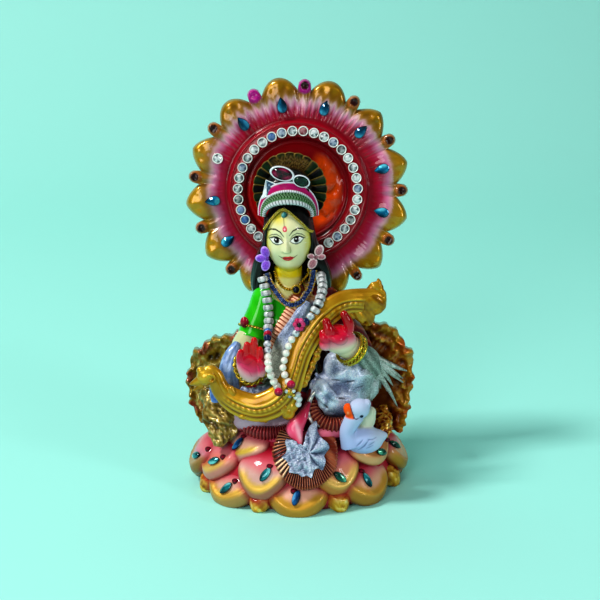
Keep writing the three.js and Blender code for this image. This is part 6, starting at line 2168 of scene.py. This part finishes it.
def fine(line, count):
    run = np.linspace(0, len(line) - 1, count)
    return np.stack([np.interp(run, np.arange(len(line)), line[:, k]) for k in range(3)], -1)


body_trees = ground_under(BODY_GROUND)


def necklaces():
    line = laid(
        [(-10.6, 102), (-9.4, 98.1), (-6.3, 94.8), (-2.6, 94.3), (1, 96.2), (4.2, 100), (5, 103)], 0.6,
        body_trees
    )
    piece(
        "neck_chain_wire", *cord(fine(line, 160), 0.36, 2.6, 2), gold_wire, "gold_wire", ["neck_chain"],
        "c9a227", 0.85
    )
    line = laid(
        [
            (-13.9, 101), (-12.6, 97), (-10.3, 94), (-6.7, 89.9), (-3.1, 88.5), (1, 89.7), (4.6, 93.5),
            (6.4, 98.7), (6.8, 103)
        ], 1.1, body_trees, 120
    )
    stack = Stack()
    _, across, _ = frames_along(line)
    for shift, size, shade in (
        (-0.85, 0.55, "b8943c"), (0, 0.8, "1c2f66"), (0.8, 0.78, "22407e"), (1.65, 0.5, "c29c40")
    ):
        spots, _, _ = evenly(line + across * shift, size * 1.75)
        for n, spot in enumerate(spots):
            tone = rgb(shade) if n % 3 else mix(shade, "6f86b4", 0.4)
            stack.add(egg(spot, (size, size * 0.9, size), sides=8, rings=6), tone)
    stack.piece("seed_bead_collar", stone, "navy_bead", ["bead_collar"], 0.15)
    x, z = -0.8, 94.1
    front = front_at(body_trees, x, z)
    stack = Stack()
    stack.add(egg((x, front - 1.4, z), (1.5, 1.2, 1.6), sides=30, rings=20), "060a22")
    circle = np.linspace(0, 2 * np.pi, 60, endpoint=False)
    ring_line = np.stack([x + 1.8 * np.cos(circle), np.full(60, front - 0.9), z + 1.9 * np.sin(circle)], -1)
    stack.add(cord(np.vstack([ring_line, ring_line[:2]]), 0.4), rgb("c9a227"))
    stack.piece("navy_pendant", stone, "navy_bead", ["pendant"], 0.2)


necklaces()


def tikka():
    line = laid(
        [(-15.3, 121.7), (-12.1, 126.8), (-6.5, 131.8), (0.2, 127.3), (4.6, 122.6), (6.8, 121)], 0.5,
        body_trees, 100
    )
    stack = Stack()
    for shift in (-0.3, 0.3):
        _, across, _ = frames_along(line)
        spots, _, _ = evenly(line + across * shift, 0.6)
        for spot in spots:
            stack.add(egg(spot, (0.34, 0.32, 0.32), sides=8, rings=6), "c9b04a")
    stack.piece("tikka_band", gold_wire, "gold_wire", ["tikka_chain"], 0.7)
    x, z = -6, 129.2
    front = front_at(body_trees, x, z)
    (points, faces), reach, turn = cut_stone(3.0, 2.8, 1.0, False, 20)
    piece(
        "tikka_stone", set_on(points, (x, front - 0.5, z), (0, -1, 0), (0, 0, 1)), faces, stone,
        "teal_gem", ["tikka_gem"], stone_paint(reach, turn, "9fd8d0", "3f8f92", "1d3c46", 1), 0.2,
        flat=True
    )


tikka()


def hoop(centre, axis, radius, count=180):
    axis = np.asarray(axis, float) / np.linalg.norm(axis)
    side = np.cross(axis, (0.3, 0.2, 0.9))
    side /= np.linalg.norm(side)
    other = np.cross(axis, side)
    a = np.linspace(0, 2 * np.pi, count)
    return np.asarray(centre, float) + radius * (np.cos(a)[:, None] * side + np.sin(a)[:, None] * other)


def bangles():
    line = hoop((-20.6, -26.6, 63.5), (0, -1, 0.12), 7.4, 260)
    line[:, 2] += 0.6 * np.cos(np.linspace(0, 4 * np.pi, 260))
    stack = Stack()
    stack.add(cord(line, 0.62, 1.3, 2, 9), "c5a838")
    stack.piece("right_bangle", gold_wire, "gold_wire", ["bangle_right"], 0.8)
    stack = Stack()
    for shift in (-1.5, 0, 1.5):
        axis = np.array([-0.67, -0.43, 0.61])
        line = hoop(np.array([24.3, -21.2, 70]) + axis * shift, axis, 7.2, 240)
        if shift:
            stack.add(cord(line, 0.75, sides=12), "cdb12e")
        else:
            stack.add(cord(line, 0.55, 1.6, 2, 8), "b8952a")
    stack.piece("left_bangle", gold_wire, "gold_wire", ["bangle_left"], 0.8)
    line = hoop((-19.9, -5.6, 75), (0.2, 0.33, 0.92), 7.3, 180)
    piece("armlet_wire", *cord(line, 0.36, 2.2, 2, 8), gold_wire, "gold_wire", ["armlet"], "b89a3a", 0.8)
    x, z = -24.4, 79.2
    front = front_at(body_trees, x + 1.6, z)
    points, faces = egg((x, front - 0.8, z), (2.0, 1.3, 2.7), sides=26, rings=18)
    # The stone is painted lighter at the top and darker at the bottom: painted light from above.
    piece(
        "armlet_stone", points, faces, stone, "red_gem", ["armlet_gem"],
        mix("5a0614", "a81430", smooth_step(-2, 2, points[:, 2] - z)), 0.1
    )


bangles()

glitter_flower = glitter_cloth("glitter_flower", rough=0.45, sparkle=3200, strength=0.4)


def earrings():
    for name, node, slot, centre, lobes, body, edge in (
        (
            "lavender_flower", "earring_right", "lavender_petal", (-13.7, -9.6, 109),
            [(108, 3.1, 2.8), (178, 2.9, 2.6), (-104, 3.2, 2.8)], "9455dc", "c49af6"
        ),
        (
            "pink_flower", "earring_left", "pink_petal", (8.2, -9.6, 109.6),
            [(66, 3.4, 2.8), (4, 2.4, 2.0), (-118, 3.3, 2.8), (170, 2.2, 1.8)], "b87884", "f0d4d8"
        )
    ):
        stack = Stack()
        for angle, reach, long in lobes:
            way = np.array([math.cos(math.radians(angle)), 0, math.sin(math.radians(angle))])
            spot = np.array(centre) + way * reach
            points, faces = egg((0, 0, 0), (long, 0.8, 0.72 * long), sides=36, rings=24)
            gap = np.hypot(points[:, 0] / long, points[:, 2] / (0.72 * long))
            vein = bell(points[:, 2], 0, 0.35)
            colour = mix(
                mix(body, edge, smooth_step(0.6, 0.9, gap)), rgb(body) * 0.6, 0.6 * vein * (gap < 0.7)
            )
            stack.add((turned(points, (0, -angle, 0)) + spot, faces), colour)
        stack.add(
            egg((centre[0], centre[1] - 0.5, centre[2]), (0.8, 0.7, 1.0), sides=16, rings=12),
            rgb(body) * 0.5
        )
        stack.piece(name, glitter_flower, slot, [node], 0.05)


earrings()


# Garlands
# Two strings of beads hang from the shoulders: glitter rondelles at the neck, then crystals and pearls,
# with red beads, a rosette and a gold clasp with crystal drops where they meet on the veena.
def bead(stack, spot, way, kind, size):
    way = np.asarray(way, float)
    if kind == "rondelle":
        a = np.linspace(0, 2 * np.pi, 16, endpoint=False)
        rings = [(0.35, -0.62), (0.85, -0.55), (1.0, -0.25), (1.0, 0.25), (0.85, 0.55), (0.35, 0.62)]
        grid = np.array(
            [
                np.stack([r * size * np.cos(a), r * size * np.sin(a), np.full(16, h * 2.2)], -1)
                for r, h in rings
            ]
        )
        shell = skin_of(grid)
        turn = np.append(np.tile(a, len(rings)), [0, 0])
        edge = np.append(np.repeat([r for r, _ in rings], 16), [0, 0])
        # Facets are painted light and dark by turns round the rondelle: painted reflections of cut crystal.
        colour = mix("8d8f92", "e2e4e6", 0.5 + 0.5 * np.sin(5 * turn + spot[2]))
        colour = mix(colour, "1c1c1e", smooth_step(0.6, 0.3, edge))
        stack.add((set_on(shell[0], spot, way, (1, 0.2, 0)), shell[1]), colour)
        return
    look = {
        "pearl": "e6e3da", "crystal": "c9d0d6", "blue": "3f74b8", "red": "b01038", "navy": "10204c",
        "wine": "6c0a2c"
    }[kind]
    points, faces = egg(spot, (size, size, size), sides=18, rings=12)
    tone = np.sin(2.6 * points[:, 0]) * np.sin(2.3 * points[:, 2])
    colour = np.broadcast_to(rgb(look), points.shape)
    if kind == "crystal":
        # Crystal beads get darker grey patches: painted reflections.
        colour = mix(colour, "6f7880", smooth_step(0.1, 0.6, tone))
    stack.add((points, faces), colour)


def garland(name, node, points, order):
    trees = ground_under(
        BODY_GROUND
        + pieces_named("veena_body", "veena_drops", "seed_bead_collar", "right_hand", "left_hand")
    )
    line = laid(points, 2.1, trees, 110, 20)
    spots, ways, share = evenly(line, 3.3)
    rings, balls = Stack(), Stack()
    for spot, way, at in zip(spots, ways, share):
        kind, size = next((k, s) for limit, k, s in order if at <= limit)
        bead(rings if kind == "rondelle" else balls, spot, way, kind, size)
    rings.piece(name + "_rondelles", glitter_flower, "pearl", [node], 0.2, flat=True)
    balls.piece(name + "_pearls", stone, "pearl", [node], 0.12)


garland(
    "right_garland", "garland_right",
    [
        (-16.3, 100.4), (-14.2, 91.4), (-13.1, 82.4), (-13.5, 75.8), (-12.8, 67), (-11.2, 61.6),
        (-8.4, 56.4)
    ],
    [
        (0.4, "rondelle", 2.35), (0.47, "blue", 1.9), (0.53, "red", 2.0), (0.6, "navy", 1.8),
        (0.68, "crystal", 1.8), (1, "pearl", 1.8)
    ]
)
garland(
    "left_garland", "garland_left",
    [
        (10, 101.8), (11, 97.5), (7.8, 90.5), (1.4, 83), (-3.5, 76.3), (-6.2, 67.5), (-6.2, 64),
        (-3.4, 58.6)
    ],
    [
        (0.42, "rondelle", 2.3), (0.5, "crystal", 1.8), (0.56, "navy", 1.9), (0.64, "crystal", 1.7),
        (1, "pearl", 1.65)
    ]
)


def rosette_and_clasp():
    trees = ground_under(
        pieces_named(
            "veena_body", "veena_drops", "silver_drape", "trunk", "right_garland_pearls",
            "left_garland_pearls", "left_garland_rondelles"
        )
    )

    stack = Stack()
    y = front_at(trees, 0.6, 85, 2)
    for k in range(6):
        a = k * np.pi / 3
        spot = (0.6 + 1.6 * math.cos(a), y - 0.5, 85 + 1.9 * math.sin(a))
        stack.add(
            egg(spot, (1.25, 1.0, 1.35), sides=16, rings=12),
            mix("c01050", "e0508a", 0.5 + 0.5 * math.sin(2 * k))
        )
    stack.add(egg((0.6, y - 1.2, 85), (1.0, 0.9, 1.1), sides=16, rings=12), "100a14")
    stack.piece("pink_rosette", stone, "red_gem", ["garland_rosette"], 0.1)
    for name, node, x, z in (
        ("red_bead_right", "garland_bead_right", -8.4, 56.4),
        ("red_bead_left", "garland_bead_left", -2.9, 59.9)
    ):
        points, faces = egg((x, front_at(trees, x, z, 1.5) - 1.9, z), (1.95, 1.95, 1.95), sides=30, rings=22)
        # Each bead is painted lighter at the top and darker at the bottom: painted light from above.
        piece(
            name, points, faces, stone, "red_gem", [node],
            mix("5c0622", "c01848", smooth_step(-1.5, 1.8, points[:, 2] - z)), 0.1
        )
    stack = Stack()
    y = front_at(trees, -3.4, 54.8, 2)
    for dx, dz, size, look in (
        (0, 0, 1.5, "b8922a"), (-1.5, 0.6, 1.0, "d2d6da"), (1.5, 0.8, 1.0, "e2e4e6"),
        (0, 1.9, 0.9, "c9a840"), (-0.2, -1.8, 0.9, "9aa0a8"), (1.5, -1.3, 0.8, "c9a840"),
        (-1.5, -1.2, 0.8, "c9a840")
    ):
        stack.add(
            egg((-3.4 + dx, y - 0.9, 54.8 + dz), (size, size * 0.8, size), sides=14, rings=10), rgb(look)
        )
    stack.piece("gold_clasp", gold_wire, "gold_wire", ["garland_clasp"], 0.55)
    stack = Stack()
    y = front_at(trees, 0.2, 51, 1.5)
    for k, (dx, dz, size) in enumerate(((0, 2.4, 1.3), (0.4, 0.2, 1.5), (0.1, -2.2, 1.4), (-1.2, 1, 0.9))):
        stack.add(
            egg((0.2 + dx, y - 1.1, 51 + dz), (size, size, size), sides=14, rings=10),
            mix("aab2b8", "eef0f2", 0.4 + 0.2 * k)
        )
    stack.piece("crystal_tassel", glitter_flower, "rhinestone", ["garland_tassel"], 0.2, flat=True)


rosette_and_clasp()
